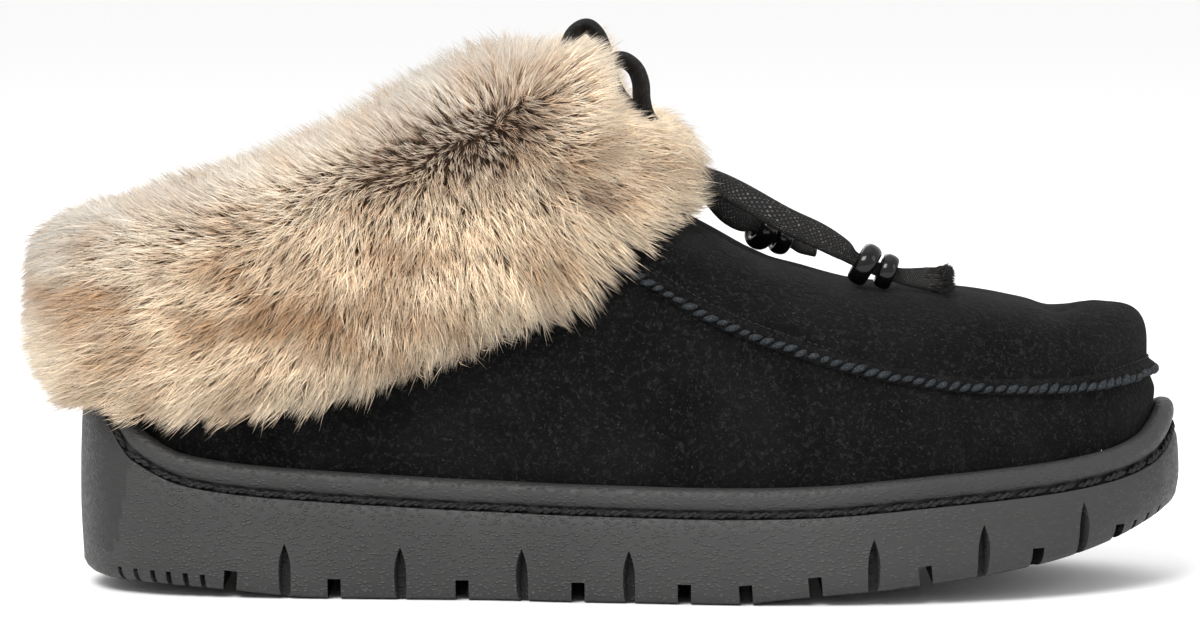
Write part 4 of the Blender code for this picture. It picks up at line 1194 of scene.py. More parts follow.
STITCH_PITCH = 8.5 * MM
STITCH_LENGTH = 7.4 * MM
STITCH_THICKNESS = 1.45 * MM
PLIES = 2
PLY_TURNS = 1.6  # turns of each ply round the other in one stitch
PLY_RADIUS = 0.34  # as a share of the stitch's thickness
PLY_AWAY = (0.26, 0.30)  # how far it runs from the stitch's middle, across and up


def sew_sole():
    """Twisted rope stitches in the groove under the bead, each slightly raised at its front."""
    unit = bmesh.new()
    steps = 9
    for ply in range(PLIES):
        rows = []
        for k in range(steps + 1):
            share = k / steps
            thick = STITCH_THICKNESS * math.sin(math.pi * min(max(share, 0.04), 0.96)) ** 0.45
            phase = 2 * math.pi * (ply / PLIES + PLY_TURNS * share)
            centre = Vector((
                (share - 0.5) * STITCH_LENGTH,
                PLY_AWAY[0] * thick * math.cos(phase), PLY_AWAY[1] * thick * math.sin(phase),
            ))
            rows.append([
                centre + Vector((0, math.cos(a), math.sin(a))) * PLY_RADIUS * thick
                for a in ring_angles(UNIT_SIDES)
            ])
        unit.from_mesh(closed_unit("ply", rows))
    mesh = bpy.data.meshes.new("rope_stitch")
    unit.to_mesh(mesh)
    unit.free()
    frames = []
    for point, outward, forward in evenly(groove_line, 0, 2, STITCH_PITCH):
        leaning = (forward + Vector((0, 0, 0.07))).normalized()
        frames.append(axes(placed(point), leaning, outward, outward.cross(leaning)))
    stitches = repeated("rope_stitches", mesh, frames)
    wear(stitches, thread("rope_thread", grey(0.003), grey(0.035, 0.02)), "sole_rubber")
    smooth(stitches, 60)


def groove_line(turn):
    """The middle of the stitch groove at a turn, and the way out."""
    base = outline_point(turn)[0]
    profile = sole_profile(base.x)
    inset = 0.9 * MM + 0.45 * GROOVE_DEPTH
    point, outward = outline_point(turn, inset)
    point.z = (profile[WALL_TOP_ROW][1] + profile[BEAD_LOW_ROW][1]) / 2
    return point, outward


def evenly(line, first, last, pitch, fine=1600):
    """Places a pitch apart along a line of turns: point, outward and forward, rearward to front."""
    turns = [first + (last - first) * k / fine for k in range(fine + 1)]
    points = [line(turn) for turn in turns]
    made, gone = [], pitch / 2
    for (a, outward), (b, _) in zip(points, points[1:]):
        length = (b - a).length
        while gone < length:
            forward = (b - a).normalized()
            if forward.x < 0:
                forward = -forward
            made.append((a.lerp(b, gone / length), outward, forward))
            gone += pitch
        gone -= length
    return made


# ---------------------------------------------------------------- the upper


TUCK_ROWS = 3
WALL_ROWS = 12
SEAM_AT = TUCK_ROWS + WALL_ROWS


def upper_column(turn, apron_rows=34):
    """The upper's outer face at one turn, from inside the cup to the collar's edge or ridge."""
    place, side = (turn, -1) if turn <= 1 else (2 - turn, 1)
    base = outline_point(turn)[0]
    fit = CUP_WALL + FIT_GAP
    rim = bead_top(base.x)
    seam_inset = BALL_WIDTH * seam_value("inset", place)
    seam_z = max(seam_height(outline_point(turn, seam_inset)[0].x), rim + SEAM_OVER_BEAD)
    rise, run = seam_z - rim, seam_inset - fit
    low = cup_floor(base.x) + FIT_GAP
    line = (
        (rim - UPPER_TUCK, fit), (rim + 0.30 * rise, fit + 0.10 * run - 0.5 * UPPER_TUCK),
        (rim + 0.72 * rise, fit + 0.50 * run), (seam_z, seam_inset),
    )
    heights = [line[0][0] + (seam_z - line[0][0]) * k / WALL_ROWS for k in range(WALL_ROWS + 1)]
    rows = [(fit, low + (line[0][0] - low) * k / TUCK_ROWS) for k in range(TUCK_ROWS)]
    rows += [(table_curve(line, ("height", "inset"), "inset", z), z) for z in heights]
    points = []
    for inset, height in rows:
        point = outline_point(turn, inset)[0]
        point.z = height
        points.append(point)
    seam, crown = points[-1], crown_point(place, side)
    power = 2 / seam_value("squareness", place)
    arc = math.pi / 2 * seam_value("arc", place)
    for row in range(1, apron_rows + 1):
        angle = arc * (row / apron_rows) ** 1.05
        inward = (1 - max(math.cos(angle), 0) ** power) / (1 - max(math.cos(arc), 0) ** power)
        upward = (math.sin(angle) / math.sin(arc)) ** power
        point = seam.lerp(crown, inward)
        point.z = seam.z + (crown.z - seam.z) * upward
        points.append(point)
    return points


# Soft troughs and ridges of the leather, in millimetres from the sole's back end: the two ends of
# each, how deep it is (ridges are negative) and how far it spreads
CREASES = (
    ((236.5, -34, 70), (241, 0, 70), 1.2, 4.2),
    ((241, 0, 70), (238.5, 30, 70), 1.0, 4.2),
    ((247, -26, 70), (249, 20, 72), -0.7, 4.5),
    ((216, -30, 76), (219, -12, 78), 0.45, 3.2),
    ((219, 12, 78), (216, 30, 76), 0.45, 3.2),
    ((176, -33, 74), (186, -18, 82), 0.5, 4.5),
    ((176, 34, 74), (188, 18, 82), 0.5, 4.5),
    ((155, -38, 66), (170, -34, 70), 0.45, 5.0),
    ((150, -46, 50), (190, -47, 44), 0.6, 8.0),
    ((186, -47, 47), (236, -41, 44), -0.4, 7.0),
    ((150, 48, 50), (195, 48, 44), 0.6, 8.0),
    ((262, -14, 56), (262, 24, 56), 0.5, 5.0),
)


def crease_depth(point):
    """How far the creases draw the leather in at a point."""
    depth = 0.0
    for start, end, deep, spread in CREASES:
        a, b = Vector(start) * MM, Vector(end) * MM
        share = min(max((point - a).dot(b - a) / (b - a).length_squared, 0), 1)
        away = (point - a.lerp(b, share)).length / (spread * MM)
        if away < 3:
            depth += deep * MM * math.exp(-away * away)
    return depth


def dress_upper():
    """The leather with its creases and its inner face, and the seam round the apron."""
    columns = [upper_column(2 * (i % TURNS) / TURNS) for i in range(TURNS + 1)]
    bm = skin([list(row) for row in zip(*columns)])
    bm.normal_update()
    flat = {vert: vert.normal.copy() for vert in bm.verts}
    for vert, normal in flat.items():
        vert.co -= normal * crease_depth(vert.co - SHIFT)
    bm.normal_update()
    upper = plain_object("suede_upper", bm)
    wall = upper.modifiers.new("wall", "SOLIDIFY")
    wall.thickness, wall.offset = UPPER_WALL, -1
    wall.use_even_offset = True
    settled(upper)
    upper.data.materials.append(suede())
    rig.ride(upper, "root")
    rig.slot(upper, "suede")
    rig.replaces(upper, "upper")
    smooth(upper, 50)
    sew_apron()
    return upper


def seam_frame(turn):
    """The seam's point at a turn, and the ways out of the leather, up over the apron and along."""
    here = upper_column(turn, 6)
    ahead = upper_column(turn + 0.002, 6)
    seam = here[SEAM_AT]
    up = (here[SEAM_AT + 1] - here[SEAM_AT - 1]).normalized()
    along = (ahead[SEAM_AT] - seam).normalized()
    out = along.cross(up).normalized()
    if out.dot(outline_point(turn)[1]) < 0:
        out = -out
    over = along.cross(out).normalized()
    return seam, out, over if over.z > 0 else -over, along


SEAM_FIRST, SEAM_LAST = 0.475, 1.525
SEAM_STEPS = 1500
SEAM_FRAMES = 300  # frames worked out along the seam, with the steps drawn between them
SEAM_SECTION = (  # out and up from the seam's line, in millimetres
    (-1.2, -1.5), (0.6, -1.75), (1.55, -1.45), (1.95, -0.6), (1.85, 0.35), (1.25, 1.2), (0.45, 1.9),
    (-0.2, 2.9), (-1.2, 3.1),
)
WHIP_PITCH = 2.9 * MM
WHIP_OUT, WHIP_DOWN = 1.35, 0.45  # where the whip stitches sit from the seam's line, in millimetres
FINE_PITCH = 1.7 * MM
FINE_OUT, FINE_UP = 0.02, 2.75


def seam_frames():
    """The seam's frame at every step along it, and the length up to each."""
    span = SEAM_LAST - SEAM_FIRST
    coarse = [seam_frame(SEAM_FIRST + span * k / SEAM_FRAMES) for k in range(SEAM_FRAMES + 1)]
    frames = []
    for k in range(SEAM_STEPS + 1):
        low = min(int(k * SEAM_FRAMES / SEAM_STEPS), SEAM_FRAMES - 1)
        share = k * SEAM_FRAMES / SEAM_STEPS - low
        frames.append([a.lerp(b, share) for a, b in zip(coarse[low], coarse[low + 1])])
    lengths = [0.0]
    for a, b in zip(frames, frames[1:]):
        lengths.append(lengths[-1] + (b[0] - a[0]).length)
    return frames, lengths


def sew_apron():
    """The raised moccasin seam with its whip stitches, and a fine row of stitches above it."""
    frames, lengths = seam_frames()
    rows = []
    for (point, out, up, along), gone in zip(frames, lengths):
        wave = 0.5 - 0.5 * math.cos(2 * math.pi * gone / WHIP_PITCH)
        slow = 1 + 0.10 * math.sin(gone / (7.3 * MM)) + 0.06 * math.sin(gone / (2.9 * MM) + 1)
        row = []
        for x, z in SEAM_SECTION:
            lump = (0.80 + 0.24 * wave) * slow if x > 0.5 and z < 1.0 else 1.0
            rise = z * (0.9 + 0.14 * wave) if z < 0 else z
            row.append(point + out * x * lump * MM + up * rise * MM)
        rows.append(row + row[:1])
    bm = skin(rows)
    bmesh.ops.holes_fill(bm, edges=bm.edges, sides=12)
    bmesh.ops.recalc_face_normals(bm, faces=bm.faces)
    band = smooth(plain_object("apron_seam", bm), 60)
    wear(band, bpy.data.materials["black_suede"], "suede")

    rng = np.random.default_rng(9)
    whips, fine = [], []
    for k, (point, out, up, along) in enumerate(frames):
        if k and int(lengths[k] / WHIP_PITCH) != int(lengths[k - 1] / WHIP_PITCH):
            forward = along if along.x > 0 else -along
            slant = forward + up * rng.uniform(0.35, 0.75) + out * rng.uniform(-0.1, 0.2)
            slant.normalize()
            place = point + out * (WHIP_OUT + rng.uniform(-0.15, 0.25)) * MM
            place -= up * (WHIP_DOWN + rng.uniform(-0.2, 0.2)) * MM
            size = Matrix.Scale(rng.uniform(0.88, 1.14), 4)
            whips.append(axes(placed(place), slant, out, slant.cross(out)) @ size)
        if k and int(lengths[k] / FINE_PITCH) != int(lengths[k - 1] / FINE_PITCH):
            place = point + out * FINE_OUT * MM + up * FINE_UP * MM
            fine.append(axes(placed(place), along, out, up))
    whip = stitch_unit("whip_stitch", 3.5 * MM, 1.7 * MM, 1.2)
    stitches = smooth(repeated("whip_stitches", whip, whips), 70)
    wear(stitches, thread("whip_thread", (0.006, 0.008, 0.010, 1), (0.040, 0.049, 0.058, 1)), "suede")
    dash = stitch_unit("fine_stitch", 1.25 * MM, 0.5 * MM, 0.0)
    dashes = smooth(repeated("fine_stitches", dash, fine), 70)
    wear(dashes, thread("fine_thread", grey(0.003), grey(0.02)), "suede")


def stitch_unit(name, length, thickness, bow):
    """One short thread, bowed outwards and closed at both ends."""
    steps = 6
    rows = []
    for k in range(steps + 1):
        share = k / steps
        half = 0.5 * thickness * math.sin(math.pi * min(max(share, 0.06), 0.94)) ** 0.6
        arch = bow * 0.25 * thickness * (1 - (2 * share - 1) ** 2)
        rows.append([
            Vector(((share - 0.5) * length, arch + half * math.cos(a), half * math.sin(a)))
            for a in ring_angles(UNIT_SIDES)
        ])
    return closed_unit(name, rows)


# ---------------------------------------------------------------- the fur


def welded_copy(node):
    """A solid's own surface with its loose triangles joined."""
    bm = bmesh.new()
    bm.from_mesh(frame["nodes"][node].data)
    bmesh.ops.remove_doubles(bm, verts=bm.verts, dist=WELD)
    return bm


def surface_tree(*nodes):
    bm = bmesh.new()
    for node in nodes:
        bm.from_mesh(frame["nodes"][node].data)
    tree = BVHTree.FromBMesh(bm)
    bm.free()
    return tree


def fur_envelope():
    """The fur's solid with its locks smoothed down to one soft surface."""
    soft = plain_object("fur_envelope", welded_copy("fur_collar"))
    remesh = soft.modifiers.new("voxels", "REMESH")
    remesh.mode, remesh.voxel_size = "VOXEL", 2.8 * MM
    calm = soft.modifiers.new("calm", "SMOOTH")
    calm.factor, calm.iterations = 0.6, 9
    return settled(soft)


# Places in this section are in world millimetres, along the shoe and up
# The parting along the top that the fur is combed away from, how far from it the fur lies flat in
# full, and how far from it the fur still stands up
PARTING = ((-108, 92), (-91, 96.5), (-60, 107), (-29, 114.5), (-19, 117))
PARTING_EASE = 13.0
PARTING_STANDS = 15.0
STANDING = ((-110, 0.35), (-74, 0.5), (-54, 1))  # how much it stands there, at each place along
# How strongly the fur leans back (or, when negative, forward) at each place along
LEAN = (
    (-120, 2.4), (-95, 2.0), (-80, 1.25), (-62, 0.7), (-49, 0.4), (-30, 0.0), (-8, -0.45), (10, -0.7),
    (40, -1.0),
)
# Patches, each with its place, reach and strength: golden brown ones, and ones where the
# grey-brown roots show, darker still as painted shade in the parted fur and its clefts
BROWN = (
    (-130, 70, 10, 1.0), (-119, 66, 11, 1.0), (-97, 64, 11, 0.9), (-79, 70, 13, 1.0), (-65, 68, 12, 0.9),
    (-92, 80, 7, 0.35), (-44, 84, 9, 0.5), (-30, 76, 7, 0.35), (-12, 78, 8, 0.5), (-25, 98, 10, 0.6),
    (-8, 104, 8, 0.5), (4, 100, 8, 0.5), (-50, 62, 9, 0.6), (-116, 46, 8, 0.5), (-96, 50, 7, 0.4),
    (-36, 64, 7, 0.4),
)
ROOT_AND_SHADE_PATCHES = (
    (-20, 115, 9, 1.0), (-31, 109, 9, 0.9), (-22, 105, 6, 0.6), (-45, 112, 9, 0.8), (-54, 106, 9, 0.7),
    (-48, 100, 6, 0.6), (-66, 101, 7, 0.35), (-101, 95, 8, 0.4), (-116, 74, 5, 0.35), (-107, 79, 5, 0.4),
    (-11, 93, 4, 0.5), (1, 97, 5, 1.2), (4, 109, 5, 0.8), (-9, 101, 5, 0.7), (-22, 127, 10, 0.35),
    (-84, 93, 6, 0.25),
)


def read_off(rows, x):
    """The value at each x of a table of pairs, straight between its rows."""
    return np.interp(x, *zip(*rows))


def rising(value, start, span):
    """0 up to the start, 1 from a span above it."""
    return np.clip((value - start) / span, 0, 1)


def falling(value, end, span):
    """1 up to a span below the end, 0 from the end on."""
    return np.clip((end - value) / span, 0, 1)


def comb(points, normals):
    """The way the fur lies at each point, along the surface, and how much it stands up there."""
    x, z = points[:, 0] / MM, points[:, 2] / MM
    z = z + 3.2 * np.sin(x / 9.0) + 2.0 * np.sin(x / 4.1 + points[:, 1] * 90)
    best = np.full(len(points), 1e9)
    away = np.zeros((len(points), 3))
    for (ax, az), (bx, bz) in zip(PARTING, PARTING[1:]):
        run, climb = bx - ax, bz - az
        share = np.clip(((x - ax) * run + (z - az) * climb) / (run ** 2 + climb ** 2), 0, 1)
        dx, dz = x - (ax + share * run), z - (az + share * climb)
        gap = np.hypot(dx, dz) + 1e-6
        near = gap < best
        best = np.where(near, gap, best)
        away[near] = np.stack([dx / gap, 0 * dx, dz / gap], 1)[near]
    lean = read_off(LEAN, x) + np.where((away[:, 2] > 0) & (x < -25), 0.7, 0.0)
    way = away * np.clip(best / PARTING_EASE, 0.12, 1)[:, None]
    way[:, 0] -= lean
    inside = inward_share(points, normals)
    upward = np.array([0.0, 0.0, 1.0])
    way = way * (1 - inside[:, None]) + (upward * 0.9 + normals * 0.5) * inside[:, None]
    way -= normals * (way * normals).sum(1)[:, None] * (1 - 0.6 * inside[:, None])
    way /= np.linalg.norm(way, axis=1)[:, None] + 1e-9
    stand = np.exp(-(best / PARTING_STANDS) ** 2) * (1 - inside) * read_off(STANDING, x)
    return way, stand


HEEL_CENTRE = np.array([-95 * MM, 0, 0])  # of the round of the heel, behind which ways fan out


def ways_out(points):
    """Level ways from the middle of the shoe out to each point."""
    out = np.zeros_like(points)
    out[:, 1] = np.sign(points[:, 1])
    back = points[:, 0] < HEEL_CENTRE[0]
    out[back] = (points[back] - HEEL_CENTRE) * np.array([1, 1, 0])
    return out


def inward_share(points, normals):
    """1 on the lip that faces the opening and 0 on the outside."""
    out = ways_out(points)
    out /= np.linalg.norm(out, axis=1)[:, None] + 1e-9
    facing = (out * normals).sum(1)
    return rising(-facing, 0.05, 0.45)


def triples(items, name, kind):
    """One value of three numbers from each item of a mesh, as rows."""
    values = np.empty(len(items) * 3, kind)
    items.foreach_get(name, values)
    return values.reshape(-1, 3)


def sampled(obj, count, rng):
    """Evenly spread points of a surface with the smooth normal at each."""
    mesh = obj.data
    mesh.calc_loop_triangles()
    corners = triples(mesh.loop_triangles, "vertices", np.int32)
    spots = triples(mesh.vertices, "co", np.float32).astype(float)
    ways = triples(mesh.vertices, "normal", np.float32).astype(float)
    a, b, c = (spots[corners[:, k]] for k in range(3))
    area = np.linalg.norm(np.cross(b - a, c - a), axis=1)
    chosen = rng.choice(len(corners), count, p=area / area.sum())
    u, v = rng.random(count), rng.random(count)
    fold = u + v > 1
    u[fold], v[fold] = 1 - u[fold], 1 - v[fold]
    weights = np.stack([1 - u - v, u, v], 1)
    points = (spots[corners[chosen]] * weights[:, :, None]).sum(1)
    normals = (ways[corners[chosen]] * weights[:, :, None]).sum(1)
    normals /= np.linalg.norm(normals, axis=1)[:, None]
    return points, normals


HAIR_BEND = 0.45  # how far along a hair its bend is, for its shade


def hairs(name, roots, bends, tips, widths, values):
    """Slender closed hairs, each from a root through a bend to a tip, with values for their shades."""
    count = len(roots)
    way = tips - roots
    way /= np.linalg.norm(way, axis=1)[:, None] + 1e-12
    helper = np.where(np.abs(way[:, 2:3]) < 0.9, np.array([[0, 0, 1.0]]), np.array([[1.0, 0, 0]]))
    e1 = np.cross(way, helper)
    e1 /= np.linalg.norm(e1, axis=1)[:, None]
    e2 = np.cross(way, e1)
    spots = np.empty((count, 5, 3))
    spots[:, 0], spots[:, 4] = roots, tips
    for k in range(3):
        angle = 2 * math.pi * k / 3
        ring = e1 * math.cos(angle) + e2 * math.sin(angle)
        spots[:, 1 + k] = bends + ring * widths[:, None] * 0.5
    pattern = []
    for k in range(3):
        after = (k + 1) % 3
        pattern += [(0, 1 + after, 1 + k), (4, 1 + k, 1 + after)]
    faces = np.array(pattern)[None] + (np.arange(count) * 5)[:, None, None]
    mesh = bpy.data.meshes.new(name)
    mesh.vertices.add(count * 5)
    mesh.vertices.foreach_set("co", spots.astype(np.float32).ravel())
    mesh.loops.add(faces.size)
    mesh.loops.foreach_set("vertex_index", faces.astype(np.int32).ravel())
    mesh.polygons.add(faces.size // 3)
    mesh.polygons.foreach_set("loop_start", np.arange(0, faces.size, 3, dtype=np.int32))
    mesh.update(calc_edges=True)
    along = np.tile([0.0, *[HAIR_BEND] * 3, 1.0], count)
    for key, value in {"along": along, **{k: np.repeat(v, 5) for k, v in values.items()}}.items():
        layer = mesh.attributes.new(key, "FLOAT", "POINT")
        layer.data.foreach_set("value", value.astype(np.float32))
    mesh.shade_smooth()
    obj = bpy.data.objects.new(name, mesh)
    bpy.context.scene.collection.objects.link(obj)
    return obj


FUR_PIECES = ("fur_heel", "fur_quarter", "fur_instep", "fur_front")
FUR_HAIRS = 107000
FUR_TRIES = 1.6  # places tried for each hair wanted
FUR_ROOM = 1.4 * MM  # least room over the leather and the sole where a hair grows
HAIR_LENGTH = (7.5, 12.0)  # millimetres, as the next ones
HAIR_WIDTH = (0.17, 0.28)
HAIR_REACH = (0.9, 0.9)  # beyond the solid: its mean and its spread
SHORT_SHARE, SHORT_BY = 0.22, (1.0, 4.0)
WILD_SHARE, WILD_BY = 0.035, (0.8, 2.6)
LOCK_EVERY = 10  # hairs to each lock
LOCK_LEAD = (0.7, 1.1)  # how far a lock's tip leads its hairs: its mean and its spread
LOCK_PULL = (0.15, 0.66)  # how far the hairs are drawn to it, as a share of the way
SPILL_BY = 7.5  # most that the fur spills over the instep
FRONT_SWEEP = 4.0  # most that the front's hairs sweep ahead
# How far the hair stands proud of the solid's crest at each place along, and where the crest begins
CREST_PROUD = (
    (-118, 0), (-112, 1.2), (-106, 2.4), (-98, 1.2), (-74, 2.0), (-50, 2.4), (-38, 3.2), (-28, 4.0),
    (-20, 3.0), (-15, 3.8), (-9, 7.8), (-4, 10.2), (0, 8.2), (3, 1.5), (8, -2.6), (13, -2.8), (17, -0.6),
    (21, 0.5), (26, 3.0),
)
CREST_FOOT = ((-110, 78), (-40, 96), (0, 104), (26, 92))
CREST_TOP = ((-142, 86), (-100, 104), (-60, 118), (-25, 122), (0, 118), (30, 98))  # where it is palest
# How far the hairs under the hem droop, the hem's edge over the instep, and how much spills there
HEM_DROOP = ((-130, 2.0), (-110, 4.2), (-60, 3.4), (-38, 1.2), (-10, 1.6))
FRONT_HEM = ((-32, 59), (-19, 62), (-6, 69), (0, 72.5), (11, 80.5), (25, 93))
FRONT_SPILL = ((-42, 0), (-22, 0.1), (-12, 0.6), (-3, 1), (8, 0.85), (18, 0.35), (26, 0.15))


def dress_fur():
    """The collar's hairs, from places on its smoothed solid to four pieces, and their pelt."""
    rng = np.random.default_rng(11)
    soft = fur_envelope()
    carrier = surface_tree("upper", "sole", "insole")
    points, normals = sampled(soft, int(FUR_HAIRS * FUR_TRIES), rng)
    room = np.array([carrier.find_nearest(Vector(p))[3] for p in points])
    keep = np.flatnonzero(room > FUR_ROOM)[:FUR_HAIRS]
    points, normals, room = points[keep], normals[keep], room[keep]
    way, stand = comb(points, normals)
    inside = inward_share(points, normals)
    x, z = points[:, 0] / MM, points[:, 2] / MM
    count = len(points)

    wobble = rng.normal(0, 0.30, (count, 3))
    way = way + wobble - normals * (wobble * normals).sum(1)[:, None] * 0.5
    way /= np.linalg.norm(way, axis=1)[:, None]
    length = rng.uniform(*HAIR_LENGTH, count) * MM * (1 - 0.45 * inside)
    length = np.minimum(length, (room - 0.3 * MM) / 0.55)
    proud = read_off(CREST_PROUD, x) * rising(z, read_off(CREST_FOOT, x), 12)
    reach = (rng.normal(*HAIR_REACH, count) + proud) * MM
    short = rng.random(count) < SHORT_SHARE
    reach[short] -= rng.uniform(*SHORT_BY, short.sum()) * MM
    wild = rng.random(count) < WILD_SHARE
    reach[wild] += rng.uniform(*WILD_BY, wild.sum()) * MM
    tips = points + normals * reach[:, None] + way * length[:, None] * 0.15

    # under the hem the hairs droop lock by lock, and at the front they sweep ahead
    hem = rising(-normals[:, 2], 0.15, 0.5) * (1 - inside)
    locks = 0.55 + 0.30 * np.sin(x / 1.9 + 0.7 * np.sin(x / 7)) + 0.25 * np.sin(x / 0.83 + 1.3)
    droop = read_off(HEM_DROOP, x) * np.clip(locks, 0, 1.2)
    tips[:, 2] -= hem * droop * rng.uniform(0.3, 1.3, count) * MM
    tips[:, 0] += rising(x, 13, 12) * falling(z, 108, 12) * FRONT_SWEEP * MM

    # the fur spills forward, out and down over the instep, and back and down behind the heel
    spill = read_off(FRONT_SPILL, x) * falling(z, read_off(FRONT_HEM, x) + 24, 16)
    spill = spill * (1 - inside) * rng.uniform(0.75, 1.15, count) * SPILL_BY * MM
    heel = falling(x, -120, 9) * (1 - inside)
    low_heel = heel * falling(z, 74, 14) * rng.uniform(0.6, 1.1, count) * MM
    over = np.stack([0.62 * spill, 0.42 * spill * np.sign(points[:, 1]), -0.70 * spill], 1)
    over[:, 0] -= 2.6 * low_heel + 1.5 * MM * heel * falling(z, 96, 14)
    over[:, 2] -= 3.4 * low_heel
    tips += over

    # each hair leaves its root steeply and lies over from its bend to its tip
    first = normals * 0.9 + way * (0.34 - 0.25 * stand)[:, None]
    second = normals * (0.80 + 0.32 * stand)[:, None] + way * (0.80 - 0.50 * stand)[:, None]
    bends = tips - over * 0.5 - second * length[:, None] * 0.6
    roots = bends - first * length[:, None] * 0.4

    # the hairs of a lock are drawn towards one tip
    seeds = np.arange(0, count, LOCK_EVERY)
    nearest = nearest_of(points[seeds], points)
    chief = seeds[nearest]
    chance = rng.random(len(seeds))[nearest]
    ahead = (rng.normal(*LOCK_LEAD, len(seeds)) * MM)[nearest]
    pull = rng.uniform(*LOCK_PULL, count) * np.where(wild, 0.1, 1.0)
    gap = tips[chief] + way[chief] * ahead[:, None] - tips
    tips = tips + gap * pull[:, None]
    bends = bends + gap * (pull * 0.42)[:, None]

    values = fur_shades(points, chance, short, hem, rng)
    widths = rng.uniform(*HAIR_WIDTH, count) * MM
    finish = hair(
        "collar_fur", (0.095, 0.060, 0.040, 1), (0.78, 0.575, 0.39, 1), (1.0, 0.82, 0.60, 1),
        (0.53, 0.48, 0.415, 1), (0.43, 0.255, 0.130, 1),
    )
    order = np.argsort(x, kind="stable")
    for name, group in zip(FUR_PIECES, np.array_split(order, len(FUR_PIECES))):
        shades = {key: value[group] for key, value in values.items()}
        piece = hairs(name, roots[group], bends[group], tips[group], widths[group], shades)
        wear(piece, finish, "fur", "fur_collar")
    dress_pelt(soft, carrier)


def nearest_of(places, points):
    """Which of the places is nearest to each point."""
    tree = kdtree.KDTree(len(places))
    for k, place in enumerate(places):
        tree.insert(Vector(place), k)
    tree.balance()
    return np.array([tree.find(Vector(p))[1] for p in points])


def fur_shades(points, chance, short, hem, rng):
    """What the hairs' finish reads: how light each hair is, with painted shade under the hem, its patches and how pale
    it is.
    """
    x, y, z = (points[:, k] / MM for k in range(3))
    count = len(points)
    # how light each hair is: at random and by lock, short hairs a little darker, some darker still, and the hairs
    # under the hem darker as painted shade
    tone = 0.20 + 0.66 * rng.random(count) + 0.36 * (chance - 0.5) - 0.12 * short
    tone -= 0.30 * (rng.random(count) < 0.16) + 0.22 * hem
    drift = np.array([noise.noise(Vector(place)) for place in zip(x * 0.075, z * 0.115, y * 0.05)])
    golden = np.clip(drift * 1.2, 0, 0.35) * (0.5 + chance)
    patch = patchy(BROWN, x, z, chance) + golden - np.clip(-drift, 0, 0.3)
    pale = np.clip(1 - (read_off(CREST_TOP, x) - z) / 34 + 0.25 * (chance - 0.5), 0, 1)
    return {
        "tone": tone, "patch": np.clip(patch, 0, 1), "root_and_shade_share": patchy(ROOT_AND_SHADE_PATCHES, x, z, chance),
        "pale": pale * np.clip((12 - x) / 40, 0.1, 1),
    }


def patchy(spots, x, z, chance):
    """How strongly the patches colour each place, broken up lock by lock."""
    strength = np.zeros(len(x))
    for along, up, reach, strong in spots:
        near = np.exp(-(((x - along) / reach) ** 2 + ((z - up) / (0.75 * reach)) ** 2))
        strength = np.maximum(strength, near * strong)
    return np.clip(strength * (0.55 + 0.9 * chance), 0, 1)


PELT_DEPTH = 5.5 * MM  # most that the pelt lies below the fur's form
PELT_SHARE = 0.42  # and how much of the room over the leather it takes up at most
PELT_GAP = 0.6 * MM


def dress_pelt(soft, carrier):
    """The pelt that the hairs grow from: the fur's form drawn in towards the leather."""
    bm = bmesh.new()
    bm.from_mesh(soft.data)
    bpy.data.objects.remove(soft)
    bm.normal_update()
    sunk = []
    for vert in bm.verts:
        room = carrier.find_nearest(vert.co)[3]
        depth = min(PELT_DEPTH, PELT_SHARE * max(room - PELT_GAP, 0))
        sunk.append(vert.co - vert.normal * depth)
    for vert, point in zip(bm.verts, sunk):
        vert.co = point
    bmesh.ops.smooth_vert(
        bm, verts=bm.verts, factor=0.4, use_axis_x=True, use_axis_y=True, use_axis_z=True
    )
    pelt = smooth(plain_object("fur_pelt", bm), 80)
    made = Finish("pelt")
    roots = made.noise(900, 3, 0.6)
    made.colour(made.mix(made.ranged(roots, 0.35, 0.65), (0.040, 0.026, 0.018, 1), (0.130, 0.085, 0.055, 1)))
    made.set(**{"Roughness": 0.95, "Specular IOR Level": 0.1})
    made.bump(roots, MM)
    wear(pelt, made.material, "fur", "fur_collar")


# ---------------------------------------------------------------- the inside


INSOLE_TURNS = 256
INSOLE_ROWS = (  # how far each row is drawn in, in millimetres, and its share of the thickness
    (0.0, 0.0), (0.0, 0.35), (0.0, 0.72), (0.4, 0.90), (INSOLE_EDGE / MM, 1.0),
)
INSOLE_TRIES, INSOLE_PILE = 15000, 3.4  # places tried for the pile, and its length in millimetres
LINING_TRIES, LINING_HAIRS, LINING_PILE = 90000, 8000, 3.2
LINING_LOW, LINING_FRONT = 34 * MM, 60 * MM  # the lining's pile grows above and behind these


def dress_insole():
    """The fleece footbed in the cup, and the short pile on it."""
    inset = CUP_WALL + FIT_GAP + UPPER_WALL + 2 * FIT_GAP

    def height(share):
        return lambda x: cup_floor(x) + 2 * FIT_GAP + INSOLE_THICKNESS * share

    rows = []
    for extra, share in INSOLE_ROWS:
        row = []
        for i in range(INSOLE_TURNS + 1):
            turn = 2 * (i % INSOLE_TURNS) / INSOLE_TURNS
            point = outline_point(turn, inset + extra * MM)[0]
            point.z = height(share)(point.x)
            row.append(point)
        rows.append(row)
    under = drawn_in(rows[0], height(0), (1, 0.5))
    over = drawn_in(rows[-1], height(1), (0.2, 0.4, 0.6, 0.8, 1))
    insole = smooth(plain_object("fleece_insole", skin(under + rows + over)), 60)
    wear(insole, fleece("insole_fleece", (0.46, 0.37, 0.29)), "lining", "insole")
    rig.padded(insole, fill=0.9)
    rng = np.random.default_rng(5)
    points, normals = sampled(insole, INSOLE_TRIES, rng)
    keep = normals[:, 2] > 0.5
    grow_pile("insole_pile", points[keep], normals[keep], INSOLE_PILE, rng, (0.52, 0.42, 0.33))


